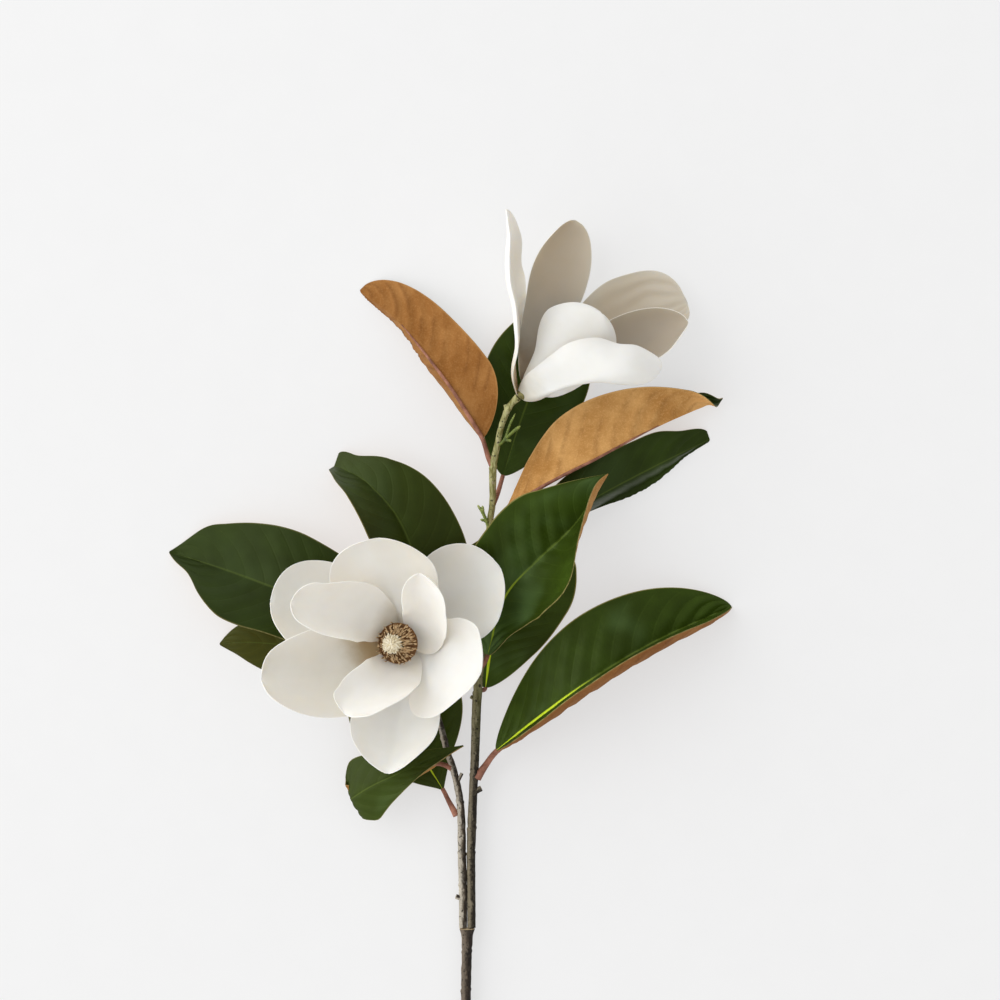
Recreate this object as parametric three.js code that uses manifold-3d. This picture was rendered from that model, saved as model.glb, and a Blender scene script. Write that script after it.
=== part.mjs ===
// A cut magnolia branch with one open flower and one cup-shaped flower, lying on a flat surface.
// Millimetres, +Z up. The branch points along +Y and lies on z = 0.
import * as THREE from 'three';
import { ParametricGeometry } from 'three/addons/geometries/ParametricGeometry.js';
import { mergeVertices } from 'three/addons/utils/BufferGeometryUtils.js';
import Module from 'manifold-3d';

const wasm = await Module();
wasm.setup();

// ---- Driving dimensions ----

const seatGap = 0.3; // clearance between pieces that touch
const leafThickness = 0.8;
const tepalThickness = 1.0;
const floorBlend = 0.3; // how softly a leaf flattens where it meets the surface
const petioleRadius = 1.7;
const petioleFlare = 1.25; // how much wider the petiole is where it joins the shoot
const ribEndRadius = 0.5;
const ribDrop = 0.4; // how far the midrib lies below the middle of the blade, as a share of its radius
const ribClearance = 0.7; // the lowest that the middle of a midrib comes to the surface
const tepalClaw = 3; // extra half width at a tepal's root
const leafClaw = 1.5;
const leafPoint = 0.6;
const tepalPoint = 1.5;
const fineSteps = 96; // stations used to carry a frame along a blade
const endCrowding = 0.7; // 0 spaces a blade's sections evenly, 1 gathers them at its ends

const colours = {
  bark: 0x6b5d4d,
  leaf: 0x2c3f1a,
  felt: 0xb98347,
  tepal: 0xefece4,
  stamens: 0x9a7446,
  carpels: 0xe2d6b0,
  sprig: 0x8fa04a,
};

const deg = THREE.MathUtils.degToRad;
const vec = (p) => new THREE.Vector3(...p);

// ---- Solids ----

// Welds a geometry, drops collapsed triangles and turns its faces outward.
function toSolid(geometry) {
  const bare = geometry.clone();
  bare.deleteAttribute('normal');
  bare.deleteAttribute('uv');
  const welded = mergeVertices(bare, 1e-4);
  const points = welded.attributes.position;
  const faces = [];
  let volume = 0;
  const [a, b, c] = [new THREE.Vector3(), new THREE.Vector3(), new THREE.Vector3()];
  for (let i = 0; i < welded.index.count; i += 3) {
    const corner = [0, 1, 2].map((k) => welded.index.getX(i + k));
    if (new Set(corner).size < 3) continue;
    faces.push(corner);
    a.fromBufferAttribute(points, corner[0]);
    b.fromBufferAttribute(points, corner[1]);
    c.fromBufferAttribute(points, corner[2]);
    volume += a.dot(b.cross(c));
  }
  const triVerts = faces.flatMap(([p, q, r]) => (volume > 0 ? [p, q, r] : [p, r, q]));
  return new wasm.Manifold(new wasm.Mesh({
    numProp: 3,
    vertProperties: new Float32Array(points.array),
    triVerts: new Uint32Array(triVerts),
  }));
}

function toGeometry(solid) {
  const mesh = solid.getMesh();
  const geometry = new THREE.BufferGeometry();
  geometry.setAttribute('position', new THREE.BufferAttribute(mesh.vertProperties, mesh.numProp));
  geometry.setIndex(new THREE.BufferAttribute(mesh.triVerts, 1));
  geometry.computeVertexNormals();
  return geometry;
}

// The largest body of a cut solid, without the slivers that the cut leaves loose.
function mainBody(solid) {
  const bodies = solid.decompose();
  return bodies.reduce((best, body) => (body.volume() > best.volume() ? body : best));
}

function smoothCurve(points) {
  return new THREE.CatmullRomCurve3(points.map(vec), false, 'catmullrom', 0.5);
}

// A smooth value through evenly spaced stations, or a plain number.
function along(values, u) {
  if (typeof values === 'number') return values;
  const last = values.length - 1;
  const i = Math.min(Math.floor(u * last), last - 1);
  const t = u * last - i;
  const [p1, p2] = [values[i], values[i + 1]];
  const p0 = i > 0 ? values[i - 1] : 2 * p1 - p2;
  const p3 = i + 2 <= last ? values[i + 2] : 2 * p2 - p1;
  const cubic = t * (3 * (p1 - p2) + p3 - p0);
  return p1 + 0.5 * t * (p2 - p0 + t * (2 * p0 - 5 * p1 + 4 * p2 - p3 + cubic));
}

// A round stem along a smooth curve, with flat ends and a radius for every point of the curve.
function tube(points, radii, steps, sides = 8) {
  const curve = smoothCurve(points);
  const frames = curve.computeFrenetFrames(steps);
  const surface = (round, lengthwise, target) => {
    const ring = Math.round(lengthwise * (steps + 2)) - 1;
    const k = THREE.MathUtils.clamp(ring, 0, steps);
    const isCap = ring < 0 || ring > steps;
    const radius = isCap ? 0 : along(radii, curve.getUtoTmapping(k / steps));
    const turn = 2 * Math.PI * (round % 1);
    target.copy(curve.getPointAt(k / steps))
      .addScaledVector(frames.normals[k], radius * Math.cos(turn))
      .addScaledVector(frames.binormals[k], radius * Math.sin(turn));
  };
  return toSolid(new ParametricGeometry(surface, sides, steps + 2));
}

function union(solids) {
  return solids.reduce((whole, solid) => whole.add(solid));
}

// ---- Blades: leaves and tepals ----

// Carries a frame along a curve without twisting it, starting from the direction "up".
function carriedFrames(curve, up) {
  const frames = [];
  let normal = vec(up);
  for (let k = 0; k <= fineSteps; k += 1) {
    const u = k / fineSteps;
    const tangent = curve.getTangentAt(u);
    normal = normal.clone().addScaledVector(tangent, -normal.dot(tangent)).normalize();
    frames.push({ point: curve.getPointAt(u), tangent, normal });
  }
  return frames;
}

function frameAt(frames, u) {
  const x = u * fineSteps;
  const i = Math.min(Math.floor(x), fineSteps - 1);
  const mix = (key) => frames[i][key].clone().lerp(frames[i + 1][key], x - i);
  const tangent = mix('tangent').normalize();
  const normal = mix('normal');
  normal.addScaledVector(tangent, -normal.dot(tangent)).normalize();
  return { point: mix('point'), tangent, normal };
}

// Half width from 0 to 1 along a blade that is widest at the share "widest" of its length.
function outline(u, { widest, rootPower, rootEase, tipPower, tipEase }) {
  if (u < widest) return Math.max(0, 1 - ((widest - u) / widest) ** rootPower) ** rootEase;
  return Math.max(0, 1 - ((u - widest) / (1 - widest)) ** tipPower) ** tipEase;
}

// The middle surface of a blade. u runs from root to tip, s from -1 (left edge) to 1 (right edge).
function bladeSurface(blade) {
  const frames = carriedFrames(smoothCurve(blade.spine), blade.up);
  return (u, s) => {
    const { point, tangent, normal } = frameAt(frames, u);
    const turn = deg(along(blade.roll, u));
    const across = new THREE.Vector3().crossVectors(tangent, normal);
    const side = across.clone().multiplyScalar(Math.cos(turn)).addScaledVector(normal, Math.sin(turn));
    const rise = normal.clone().multiplyScalar(Math.cos(turn)).addScaledVector(across, -Math.sin(turn));
    const width = blade.half * outline(u, blade) + blade.claw * (1 - u) ** 3 + blade.point * u ** 8;
    const half = s < 0 ? blade.left : blade.right;
    const fold = deg(along(half.fold, u));
    const curl = deg(along(half.curl, u)) || 1e-3;
    const far = fold + curl * Math.abs(s);
    const lateral = width * (Math.sin(far) - Math.sin(fold)) / curl;
    const height = width * (Math.cos(fold) - Math.cos(far)) / curl;
    point.addScaledVector(side, Math.sign(s) * lateral).addScaledVector(rise, height);
    if (blade.rests) {
      const over = point.z - blade.thickness / 2;
      point.z = blade.thickness / 2 + (over + Math.hypot(over, floorBlend)) / 2;
    }
    return point;
  };
}

// A closed thin shell around the middle surface, drawn to a point at the root and the tip.
function bladeSolid(blade, lengthSteps, widthSteps) {
  const surface = bladeSurface(blade);
  const lift = (u, s, offset) => {
    const du = 0.002;
    const ds = 0.02;
    const alongWay = surface(Math.min(u + du, 1), s).sub(surface(Math.max(u - du, 0), s));
    const acrossWay = surface(u, Math.min(s + ds, 1)).sub(surface(u, Math.max(s - ds, -1)));
    const normal = acrossWay.cross(alongWay).normalize();
    return surface(u, s).addScaledVector(normal, offset);
  };
  const sides = 2 * (widthSteps + 1);
  const wrap = (round, lengthwise, target) => {
    const ring = Math.round(lengthwise * (lengthSteps + 2)) - 1;
    const even = THREE.MathUtils.clamp(ring / lengthSteps, 0, 1);
    const u = even - endCrowding * Math.sin(2 * Math.PI * even) / (2 * Math.PI);
    if (ring < 0 || ring > lengthSteps) {
      target.copy(surface(u, 0));
      return;
    }
    const k = Math.round(round * sides) % sides;
    const isTop = k <= widthSteps;
    const across = isTop ? k : sides - 1 - k;
    const s = (2 * across) / widthSteps - 1;
    target.copy(lift(u, s, (isTop ? 0.5 : -0.5) * blade.thickness));
  };
  return toSolid(new ParametricGeometry(wrap, sides, lengthSteps + 2));
}

// The leaf stalk, which goes on under the blade as its raised midrib.
function stalkSolid(leaf) {
  const frames = carriedFrames(smoothCurve(leaf.spine), leaf.up);
  const ribPoint = (share) => {
    const { point, tangent, normal } = frameAt(frames, share * leaf.ribLength);
    const turn = deg(along(leaf.roll, share * leaf.ribLength));
    const across = new THREE.Vector3().crossVectors(tangent, normal);
    const rise = normal.multiplyScalar(Math.cos(turn)).addScaledVector(across, -Math.sin(turn));
    const drop = THREE.MathUtils.lerp(petioleRadius, ribEndRadius, share) * ribDrop;
    point.addScaledVector(rise, -drop);
    point.z = Math.max(point.z, ribClearance);
    return point.toArray();
  };
  const path = [...leaf.stalk, ...[0, 0.2, 0.4, 0.6, 0.8, 1].map(ribPoint)];
  const last = path.length - 1;
  const radii = path.map((_, i) => THREE.MathUtils.lerp(petioleRadius, ribEndRadius, i / last));
  radii[0] *= petioleFlare;
  return tube(path, radii, leaf.stalkSteps, 6);
}

// ---- Stems ----

const mainStem = {
  path: [
    [-22.4, -458.3, 3.5], [-21.8, -386, 4.6], [-21.2, -311, 6.5], [-20.5, -275, 7.6], [-20.4, -266.4, 8],
  ],
  radii: [3.4, 3.3, 3.4, 3.7, 5.2],
};

const leftShoot = {
  path: [
    [-23, -266, 8], [-23, -242, 9], [-23.6, -222, 10], [-24.2, -194, 12], [-26.1, -179, 13.7],
    [-29.1, -166, 15.5], [-32.8, -155.5, 17], [-36.5, -140.5, 19], [-43.3, -120.5, 21.5],
    [-51, -104, 23.5], [-56, -94, 26], [-57.4, -89.5, 28.5], [-58.4, -88, 31.8],
  ],
  radii: [2.2, 2.3, 2.3, 2.3, 2.2, 2.1, 2, 1.9, 1.9, 1.9, 2.1, 2.3, 2.6],
};

const rightShoot = {
  path: [
    [-17.7, -266, 8], [-18, -222, 10], [-17.4, -201, 11], [-16.8, -185, 12], [-15.5, -158, 14],
    [-14.3, -124, 16], [-11.8, -96, 18], [-8.7, -56, 20], [-6.8, -18.5, 22], [-4.7, -2.5, 24],
    [-4.2, 20.3, 28], [-1.8, 33.2, 31], [0.6, 44.3, 33], [4.3, 54.6, 36], [7.6, 59.6, 38.2],
    [11.2, 63, 39.7],
  ],
  radii: [2.3, 2.4, 2.6, 2.6, 2.7, 2.9, 2.5, 2.3, 2.1, 2, 2.3, 1.9, 1.8, 1.9, 1.9, 2.4],
};

// Cut stubs and old buds that stand on the shoots: [foot, end, radius].
const leftStubs = [
  [[-23.2, -248, 8.8], [-27.4, -246.5, 9.5], 1.6],
  [[-26.8, -176, 14.2], [-23.6, -169.5, 15.5], 1.1],
];

const rightStubs = [
  [[-16.7, -181.5, 12.2], [-11.6, -179, 12.6], 1.9],
  [[-14.3, -124, 16], [-18.2, -121.8, 16.6], 1.2],
  [[4.3, 54.6, 36], [3.4, 58.4, 36.8], 1.4],
];

// A shoot with its stubs. "growth" makes all of it that much thicker.
function shootSolid(shoot, stubs, growth = 0) {
  const stem = tube(shoot.path, shoot.radii.map((r) => r + growth), 40);
  const pegs = stubs.map(([foot, end, r]) => tube([foot, end], [r + growth, r + growth], 2, 6));
  return union([stem, ...pegs]);
}

// ---- Flowers ----

// Everything in a flower is placed from the foot of its receptacle and its axis.
// "girth" scales its receptacle and "spread" how far its stamens stand out.
const openFlower = {
  foot: vec([-58.7, -87.9, 33]), axis: vec([-0.29, 0, 0.957]).normalize(), girth: 1, spread: 1,
};
const cupFlower = {
  foot: vec([11.6, 63.4, 40]), axis: vec([0.65, 0.69, 0.31]).normalize(), girth: 0.75, spread: 0.55,
};

const rootRadius = 3; // how far a tepal's root sits from the axis

// The receptacle, a neck that the stamens stand around, and the cluster of carpels on top.
const coneProfile = [
  [0, 0], [2.6, 0], [5.6, 0.6], [6.6, 2.5], [6.8, 7], [6.2, 9.6], [5, 11],
  [5, 18.7], [6, 19.6], [5.5, 21.6], [3.8, 23.3], [1.4, 24.3], [0, 24.4],
];

// The ring of stamens at its full spread.
const stamenFoot = 5.4;
const stamenProfile = [
  [stamenFoot, 11.6], [8, 13.4], [11, 15.4], [13, 17.3], [12.8, 18.4], [10.5, 19.4], [7.6, 19.4],
  [stamenFoot, 18.2], [stamenFoot, 11.6],
];

// Turns a profile of [radius, height] around a flower's axis.
function turned(profile, flower) {
  const geometry = new THREE.LatheGeometry(profile.map(([r, h]) => new THREE.Vector2(r, h)), 16);
  const toAxis = new THREE.Quaternion().setFromUnitVectors(new THREE.Vector3(0, 1, 0), flower.axis);
  geometry.applyQuaternion(toAxis).translate(...flower.foot);
  return toSolid(geometry);
}

// A tepal's root sits inside the receptacle, on the side that the tepal leaves from.
function tepalRoot(flower, height, next) {
  const onAxis = flower.foot.clone().addScaledVector(flower.axis, height);
  const outward = vec(next).sub(onAxis);
  outward.addScaledVector(flower.axis, -outward.dot(flower.axis)).setLength(rootRadius * flower.girth);
  return onAxis.add(outward).toArray();
}

// ---- Leaves ----

// "spine" runs from the blade's root to its tip and "half" is half its greatest width. "roll" turns the
// blade about its spine, and "fold" and "curl" are the angle at the midrib and the extra angle at the edge
// of each half, in degrees, where a plus lifts the edge towards the upper side. Lists run from root to tip.
const leafDefaults = {
  up: [0, 0, 1], rootPower: 1.8, rootEase: 0.8, tipPower: 2, tipEase: 0.9, claw: leafClaw, point: leafPoint,
  thickness: leafThickness, rests: true, ribLength: 0.7, lengthSteps: 12, widthSteps: 6, stalkSteps: 14,
  colour: colours.leaf,
};

const leaves = [
  {
    name: 'leaf_left',
    stalk: [[-53, -100, 24.5], [-57, -96.5, 22]],
    spine: [[-63, -92, 20], [-96, -70.5, 21.5], [-134, -56.5, 19], [-169, -44, 10], [-206.5, -32.5, -1]],
    half: 36, widest: 0.56, tipEase: 1, roll: -8,
    left: { fold: [10, 22, 42], curl: 0 }, right: { fold: [5, 10, 14], curl: 0 },
  },
  {
    name: 'leaf_left_high',
    stalk: [[-43.3, -120.5, 21.5], [-44, -110, 21]],
    spine: [[-46, -96, 21], [-48, -55, 21], [-61, -15, 21], [-81, 9.5, 17], [-95, 19, 9], [-101, 20.5, -1]],
    half: 32, widest: 0.48, tipEase: 0.8, roll: [-10, -17, -9],
    left: { fold: [10, 34, 30], curl: 0 }, right: { fold: [9, 14, 20], curl: 0 },
  },
  {
    name: 'leaf_left_low',
    stalk: [[-46, -115, 22.3], [-54, -111, 18]],
    spine: [[-63, -106, 14.5], [-93, -96, 12], [-131, -90.5, 9], [-159, -88.5, 5.5], [-175, -90, 0]],
    half: 24, widest: 0.5, tipEase: 0.95, roll: [0, 5, 10],
    left: { fold: [-4, -10, -16], curl: 0 }, right: { fold: -5, curl: 0 },
  },
  {
    name: 'leaf_lowest_bent',
    stalk: [[-30, -166, 16], [-34, -164.5, 15]],
    spine: [
      [-39, -163.5, 13.5], [-62, -173, 11], [-80.5, -180, 11.5], [-90.5, -184, 18], [-81.5, -180, 25],
      [-59, -171, 28.5], [-22.5, -151.5, 28],
    ],
    half: 20.5, widest: 0.45, tipPower: 1.3, tipEase: 1.15, roll: [180, 177, 170, 175],
    left: { fold: 4, curl: 0 }, right: { fold: 4, curl: [0, 0, 20, 110] },
    ribLength: 0.3, lengthSteps: 16, widthSteps: 8,
  },
  {
    name: 'leaf_under_flower',
    stalk: [[-27, -196, 11.5], [-32, -187, 9]],
    spine: [[-36, -179.5, 7], [-47.5, -160, 5], [-59, -130, 4.5], [-68, -98, 4], [-75.5, -63.5, 4]],
    half: 35.5, widest: 0.43, rootEase: 1.1, roll: [0, -4, 0],
    left: { fold: [0, 2, 0], curl: 0 }, right: { fold: [0, 6, 6], curl: 0 },
  },
  {
    name: 'leaf_right',
    stalk: [[-16.3, -170, 13], [-10, -165, 14.5]],
    spine: [[-2, -155, 17], [23, -135, 24], [53.5, -112.5, 27], [95, -88, 20], [144.5, -66.5, -1]],
    half: 37, widest: 0.51, tipEase: 0.75, roll: [18, 9, -2],
    left: { fold: [-13, 2, 17], curl: 0 }, right: { fold: [26, 40, 46], curl: [97, 100, 103] },
    widthSteps: 8,
  },
  {
    name: 'leaf_right_low',
    stalk: [[-14, -119, 16], [-12, -118, 14]],
    spine: [[-9, -116.5, 9], [-5, -89, 4.5], [4, -60, 3.5], [13, -37, 3.5], [19, -16, 3]],
    half: 38, widest: 0.55, tipEase: 0.6, roll: 0,
    left: { fold: 3, curl: 0 }, right: { fold: [3, -3, -8], curl: 0 },
  },
  {
    name: 'leaf_right_front',
    stalk: [[-12.5, -104, 17.5], [-10, -101, 20]],
    spine: [[-7.5, -95.5, 23.5], [3, -60, 29], [23, -37, 33.5], [46, -15, 35], [66.5, 16, 31]],
    half: 40, widest: 0.56, tipEase: 1.1, roll: [4, 1, 25],
    left: { fold: [9, 18, 32], curl: 0 }, right: { fold: [30, 40, 70], curl: [26, 39, 60] },
    widthSteps: 8,
  },
  {
    name: 'leaf_right_back',
    stalk: [[-8.4, -50, 20.3], [-6, -44, 18]],
    spine: [[-3, -36, 16], [28, -17, 15.5], [62, 3, 14.2], [96, 21, 11.4], [131, 38, -1]],
    half: 23, widest: 0.57, tipEase: 0.75, roll: [-17, -12, -8],
    left: { fold: 11, curl: 0 }, right: { fold: [-12, -48, -54], curl: [-5, -28, -25] },
  },
  {
    name: 'leaf_right_turned', colour: colours.felt,
    stalk: [[-6.8, -21, 22], [-2, -15, 23.5]],
    spine: [
      [2.5, -8.5, 26], [26.5, 8, 29.5], [59, 25, 27.5], [93, 43.5, 23], [118, 55, 15], [138.5, 63.5, 5],
    ],
    half: 36, widest: 0.4, rootEase: 1, tipEase: 1.1, roll: [205, 186, 168],
    left: { fold: 115, curl: 0 }, right: { fold: [26, 6, -13], curl: [20, -3, -25] },
  },
  {
    name: 'leaf_top_turned', colour: colours.felt,
    stalk: [[-4.2, 20.3, 28], [-7.5, 27, 27.5]],
    spine: [[-11, 38, 26], [-27.5, 65, 25], [-46, 90, 20], [-65.5, 113.5, 11], [-87.5, 131, -1]],
    half: 28.5, widest: 0.3, tipEase: 0.45, roll: [181, 182, 185],
    left: { fold: 4, curl: -11 }, right: { fold: 71, curl: 22 },
  },
  {
    name: 'leaf_top_back',
    stalk: [[-4.7, -2.5, 24], [-1.5, 4, 19]],
    spine: [[2, 15.5, 13.5], [10.5, 42.5, 8], [21.5, 73, 5.5], [33, 103, 4.5], [42, 128.5, 4.5]],
    half: 33, widest: 0.54, roll: [-4, -2, -5],
    left: { fold: 7, curl: 0 }, right: { fold: [8, 0, 0], curl: 0 },
  },
];

// ---- Tepals ----

// A tepal's spine starts at its root, which tepalRoot works out, so only the rest is listed.
const tepalDefaults = {
  up: [0, 0, 1], rootPower: 1.6, rootEase: 0.7, tipPower: 2.2, tipEase: 0.5, claw: tepalClaw,
  point: tepalPoint, thickness: tepalThickness, rests: false, lengthSteps: 9, widthSteps: 6,
};

const openTepals = [
  {
    name: 'open_tepal_outer_left', height: 0.8,
    spine: [[-82, -78.5, 34.5], [-102, -71.5, 37.5], [-122, -65, 42.5], [-140, -62, 50]],
    half: 31.5, widest: 0.6, roll: [2, -4, -9],
    left: { fold: [0, 4, 7], curl: [0, 20, 24] }, right: { fold: [0, 3, -2], curl: [0, 19, 12] },
  },
  {
    name: 'open_tepal_outer_right', height: 1.6,
    spine: [[-41.5, -73, 34.5], [-26, -60, 38], [-12.5, -50, 43], [0, -41, 50]],
    half: 32, widest: 0.61, roll: [-1, 4, 8],
    left: { fold: [0, 5, 2], curl: [0, 20, 17] }, right: { fold: [0, 8, 10], curl: [0, 25, 27] },
  },
  {
    name: 'open_tepal_outer_low', height: 2.6,
    spine: [[-61, -112, 34], [-62.5, -131, 36.5], [-65.5, -149.5, 41], [-68.5, -167, 47]],
    half: 28, widest: 0.59, tipEase: 0.75, roll: [0, 1, -9],
    left: { fold: [0, 8, 16], curl: [0, 24, 34] }, right: { fold: [0, 6, 6], curl: [0, 24, 24] },
  },
  {
    name: 'open_tepal_middle_top', height: 3.2,
    spine: [[-64.5, -68.5, 41], [-68.5, -51.5, 50.5], [-72.5, -36, 60], [-74, -23, 68]],
    half: 35, widest: 0.63, roll: [2, 5, 6],
    left: { fold: [0, 1, -1], curl: [0, 10, 16] }, right: { fold: [0, 7, 4], curl: [0, 30, 27] },
  },
  {
    name: 'open_tepal_middle_left', height: 5.2,
    spine: [[-83.5, -98.5, 41], [-104.5, -104, 48], [-125.5, -107, 57], [-144.5, -109, 66]],
    half: 31, widest: 0.45, tipEase: 0.4, roll: [5, 9, 2],
    left: { fold: [0, 9, 14], curl: [5, 30, 41] }, right: { fold: [0, 6, 10], curl: [0, 26, 30] },
  },
  {
    name: 'open_tepal_middle_right', height: 5.6,
    spine: [[-44.5, -94, 39.7], [-32.5, -98.5, 49], [-21, -101.5, 58.5], [-11.5, -104.5, 66]],
    half: 38, widest: 0.51, tipEase: 0.45, roll: [-8, -5, 2],
    left: { fold: [0, 7, 6], curl: [0, 33, 30] }, right: { fold: [2, 6, 6], curl: [5, 24, 24] },
  },
  {
    name: 'open_tepal_inner_left', height: 8.2,
    spine: [[-70, -82, 40.7], [-78, -77, 46], [-93.5, -69.5, 60], [-110, -65, 69], [-126, -62, 76]],
    half: 24, widest: 0.5, tipEase: 0.45, roll: [-10, -13, -10],
    left: { fold: [0, 4, 20, 17, 14], curl: [5, 20, 56, 52, 48] },
    right: { fold: [4, 9, 9, 7, 7], curl: [10, 25, 38, 38, 38] },
  },
  {
    name: 'open_tepal_inner_right', height: 9,
    spine: [[-53, -79, 42.5], [-49, -72, 48], [-47, -64, 59.5], [-47, -54, 70], [-48, -44, 79]],
    half: 22, widest: 0.5, tipEase: 0.5, roll: [0, -6, -10],
    left: { fold: [0, 6, 15, 16, 17], curl: [5, 20, 46, 47, 48] },
    right: { fold: [0, 6, 12, 10, 9], curl: [5, 20, 36, 36, 36] },
  },
  {
    name: 'open_tepal_inner_low', height: 7.8,
    spine: [[-62, -98, 41.4], [-66, -104.5, 47], [-72.5, -113, 59], [-82.5, -121, 67], [-93.5, -129, 74]],
    half: 21, widest: 0.6, tipEase: 0.35, roll: [5, 3, -6],
    left: { fold: [0, 3, 8, 9, 10], curl: [5, 15, 36, 40, 43] },
    right: { fold: [0, 2, 11, 8, 4], curl: [5, 15, 48, 42, 37] },
  },
];

const cupTepals = [
  {
    name: 'cup_tepal_outer_left', height: 1.2, up: [1, 0, 0.1],
    spine: [[5.4, 80.5, 49.5], [6, 100, 56], [6.5, 125, 61], [5, 150, 64], [3.5, 176, 66]],
    half: 26.5, widest: 0.5, rootEase: 1, tipEase: 0.7, roll: [8, 2, 5],
    left: { fold: [0, -6, -6], curl: [20, 27, 27] }, right: { fold: [-12, -10, -6], curl: [0, 22, 30] },
  },
  {
    name: 'cup_tepal_outer_far', height: 1.2, up: [-0.1, 0, 1],
    spine: [[28, 69, 26.2], [48, 84, 15.1], [70, 100, 11.1], [94, 113.5, 10], [116.5, 122.5, 12]],
    half: 31, rootEase: 0.9, widest: 0.63, tipEase: 0.4, roll: [-4, 0, 8],
    left: { fold: [0, -3, -2], curl: [5, 14, 14] }, right: { fold: [0, 14, 18], curl: [5, 24, 30] },
  },
  {
    name: 'cup_tepal_outer_near', height: 1.2, up: [0.1, 0.3, -1],
    spine: [[28, 66, 59], [53, 74.5, 71.5], [76, 80, 76], [98, 82, 74]],
    half: 21, widest: 0.63, roll: [-3, 1, 14],
    left: { fold: [5, 14, 13], curl: [20, 41, 42] }, right: { fold: [-12, 0, 20], curl: [0, 22, 50] },
  },
  {
    name: 'cup_tepal_inner_far', height: 6.4, up: [0.1, -0.2, 1],
    spine: [[16.2, 82, 31], [21.5, 105, 24], [30, 130, 18.5], [38.5, 153, 17], [47, 173, 19]],
    half: 22.5, widest: 0.62, rootEase: 0.85, claw: 1.5, tipEase: 0.6, roll: [-4, -6, -9],
    left: { fold: [-12, -2, 13], curl: [0, 20, 37] }, right: { fold: [-4, 7, 7], curl: [5, 28, 28] },
  },
  {
    name: 'cup_tepal_inner_right', height: 3.2, up: [-0.1, 0.3, 1],
    spine: [[30.5, 68, 35.6], [52, 79, 32.5], [75, 90, 31.5], [96, 100, 33], [115.5, 109, 37]],
    half: 22, widest: 0.61, tipEase: 0.6, rootEase: 0.9, claw: 2, roll: [-3, 1, 7],
    left: { fold: [12, 10, 8], curl: [14, 30, 30] }, right: { fold: [0, 16, 24], curl: [10, 36, 44] },
  },
  {
    name: 'cup_tepal_inner_near', height: 6, up: [0.2, 0.2, -1],
    spine: [[19, 72, 54.2], [32.6, 82.8, 61], [47, 96.6, 66.5], [61.5, 112.6, 70]],
    half: 26.5, widest: 0.64, tipEase: 0.6, roll: [3, -1, -6],
    left: { fold: [0, 7, 7], curl: [10, 33, 33] }, right: { fold: [0, 6, 0], curl: [10, 33, 26] },
  },
];

// ---- Sprigs: small green side twigs, as [points, radii] for each of their arms ----

const lowSprig = [
  [[[-6.8, -17, 23], [-10.3, -8.5, 25], [-13.9, -3, 26]], [1.2, 1, 0.9]],
  [[[-10.3, -8.5, 25], [-10.9, -3.5, 26.4]], [1, 0.8]],
  [[[-8.6, -13, 24], [-12.2, -12, 24.5]], [0.9, 0.8]],
];

const highSprig = [
  [[[-1.8, 33, 31], [2.6, 37, 33.6], [6.8, 48.5, 37.5], [11.2, 57, 40]], [1.1, 0.8, 0.7, 0.6]],
  [[[2.6, 37, 33.6], [7, 36.4, 35.2]], [1, 0.9]],
  [[[2.6, 37, 33.6], [7.6, 41.5, 36], [12.4, 45.4, 37.4]], [1, 1, 1.2]],
];

// ---- Building ----

const parts = [];

function addPart(name, solid, colour, roughness = 0.7) {
  const material = new THREE.MeshStandardMaterial({ color: colour, roughness, metalness: 0 });
  const mesh = new THREE.Mesh(toGeometry(solid), material);
  mesh.name = name;
  parts.push(mesh);
}

// The shoots, and slightly thicker copies of them that cut the seats of what grows on them.
const leftSolid = shootSolid(leftShoot, leftStubs);
const rightSolid = shootSolid(rightShoot, rightStubs);
const shootSeat = shootSolid(leftShoot, leftStubs, seatGap).add(shootSolid(rightShoot, rightStubs, seatGap));

addPart('main_stem', tube(mainStem.path, mainStem.radii, 10, 12), colours.bark, 0.9);
addPart('left_shoot', leftSolid, colours.bark, 0.9);
addPart('right_shoot', rightSolid, colours.bark, 0.9);

const sprigArm = ([points, radii]) => tube(points, radii, 2 * points.length - 2, 5);
const sprigSolid = (arms) => union(arms.map(sprigArm));
addPart('sprig_low', mainBody(sprigSolid(lowSprig).subtract(shootSeat)), colours.sprig);
addPart('sprig_high', mainBody(sprigSolid(highSprig).subtract(shootSeat)), colours.sprig);

leaves.forEach((given) => {
  const leaf = { ...leafDefaults, ...given };
  const whole = bladeSolid(leaf, leaf.lengthSteps, leaf.widthSteps).add(stalkSolid(leaf));
  addPart(leaf.name, mainBody(whole.subtract(shootSeat)), leaf.colour, 0.45);
});

function addFlower(name, flower, tepals) {
  const cone = coneProfile.map(([r, h]) => [r * flower.girth, h]);
  addPart(`${name}_cone`, turned(cone, flower), colours.carpels);
  const seat = turned(cone.map(([r, h]) => [r && r + seatGap, h || -seatGap]), flower);
  const inside = stamenFoot * flower.girth;
  const ring = stamenProfile.map(([r, h]) => [inside + (r - stamenFoot) * flower.spread, h]);
  addPart(`${name}_stamens`, turned(ring, flower), colours.stamens, 0.8);
  tepals.forEach((given) => {
    const tepal = { ...tepalDefaults, ...given };
    tepal.spine = [tepalRoot(flower, tepal.height, given.spine[0]), ...given.spine];
    const blade = bladeSolid(tepal, tepal.lengthSteps, tepal.widthSteps);
    addPart(tepal.name, mainBody(blade.subtract(seat)), colours.tepal, 0.6);
  });
}

addFlower('open', openFlower, openTepals);
addFlower('cup', cupFlower, cupTepals);

// The origin is the middle of the bounding box, on the surface that the branch lies on.
const branch = new THREE.Group();
branch.add(...parts);
const box = new THREE.Box3().setFromObject(branch, true);
const middle = box.getCenter(new THREE.Vector3());
parts.forEach((mesh) => mesh.position.set(-middle.x, -middle.y, -box.min.z));

export default branch;
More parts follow.
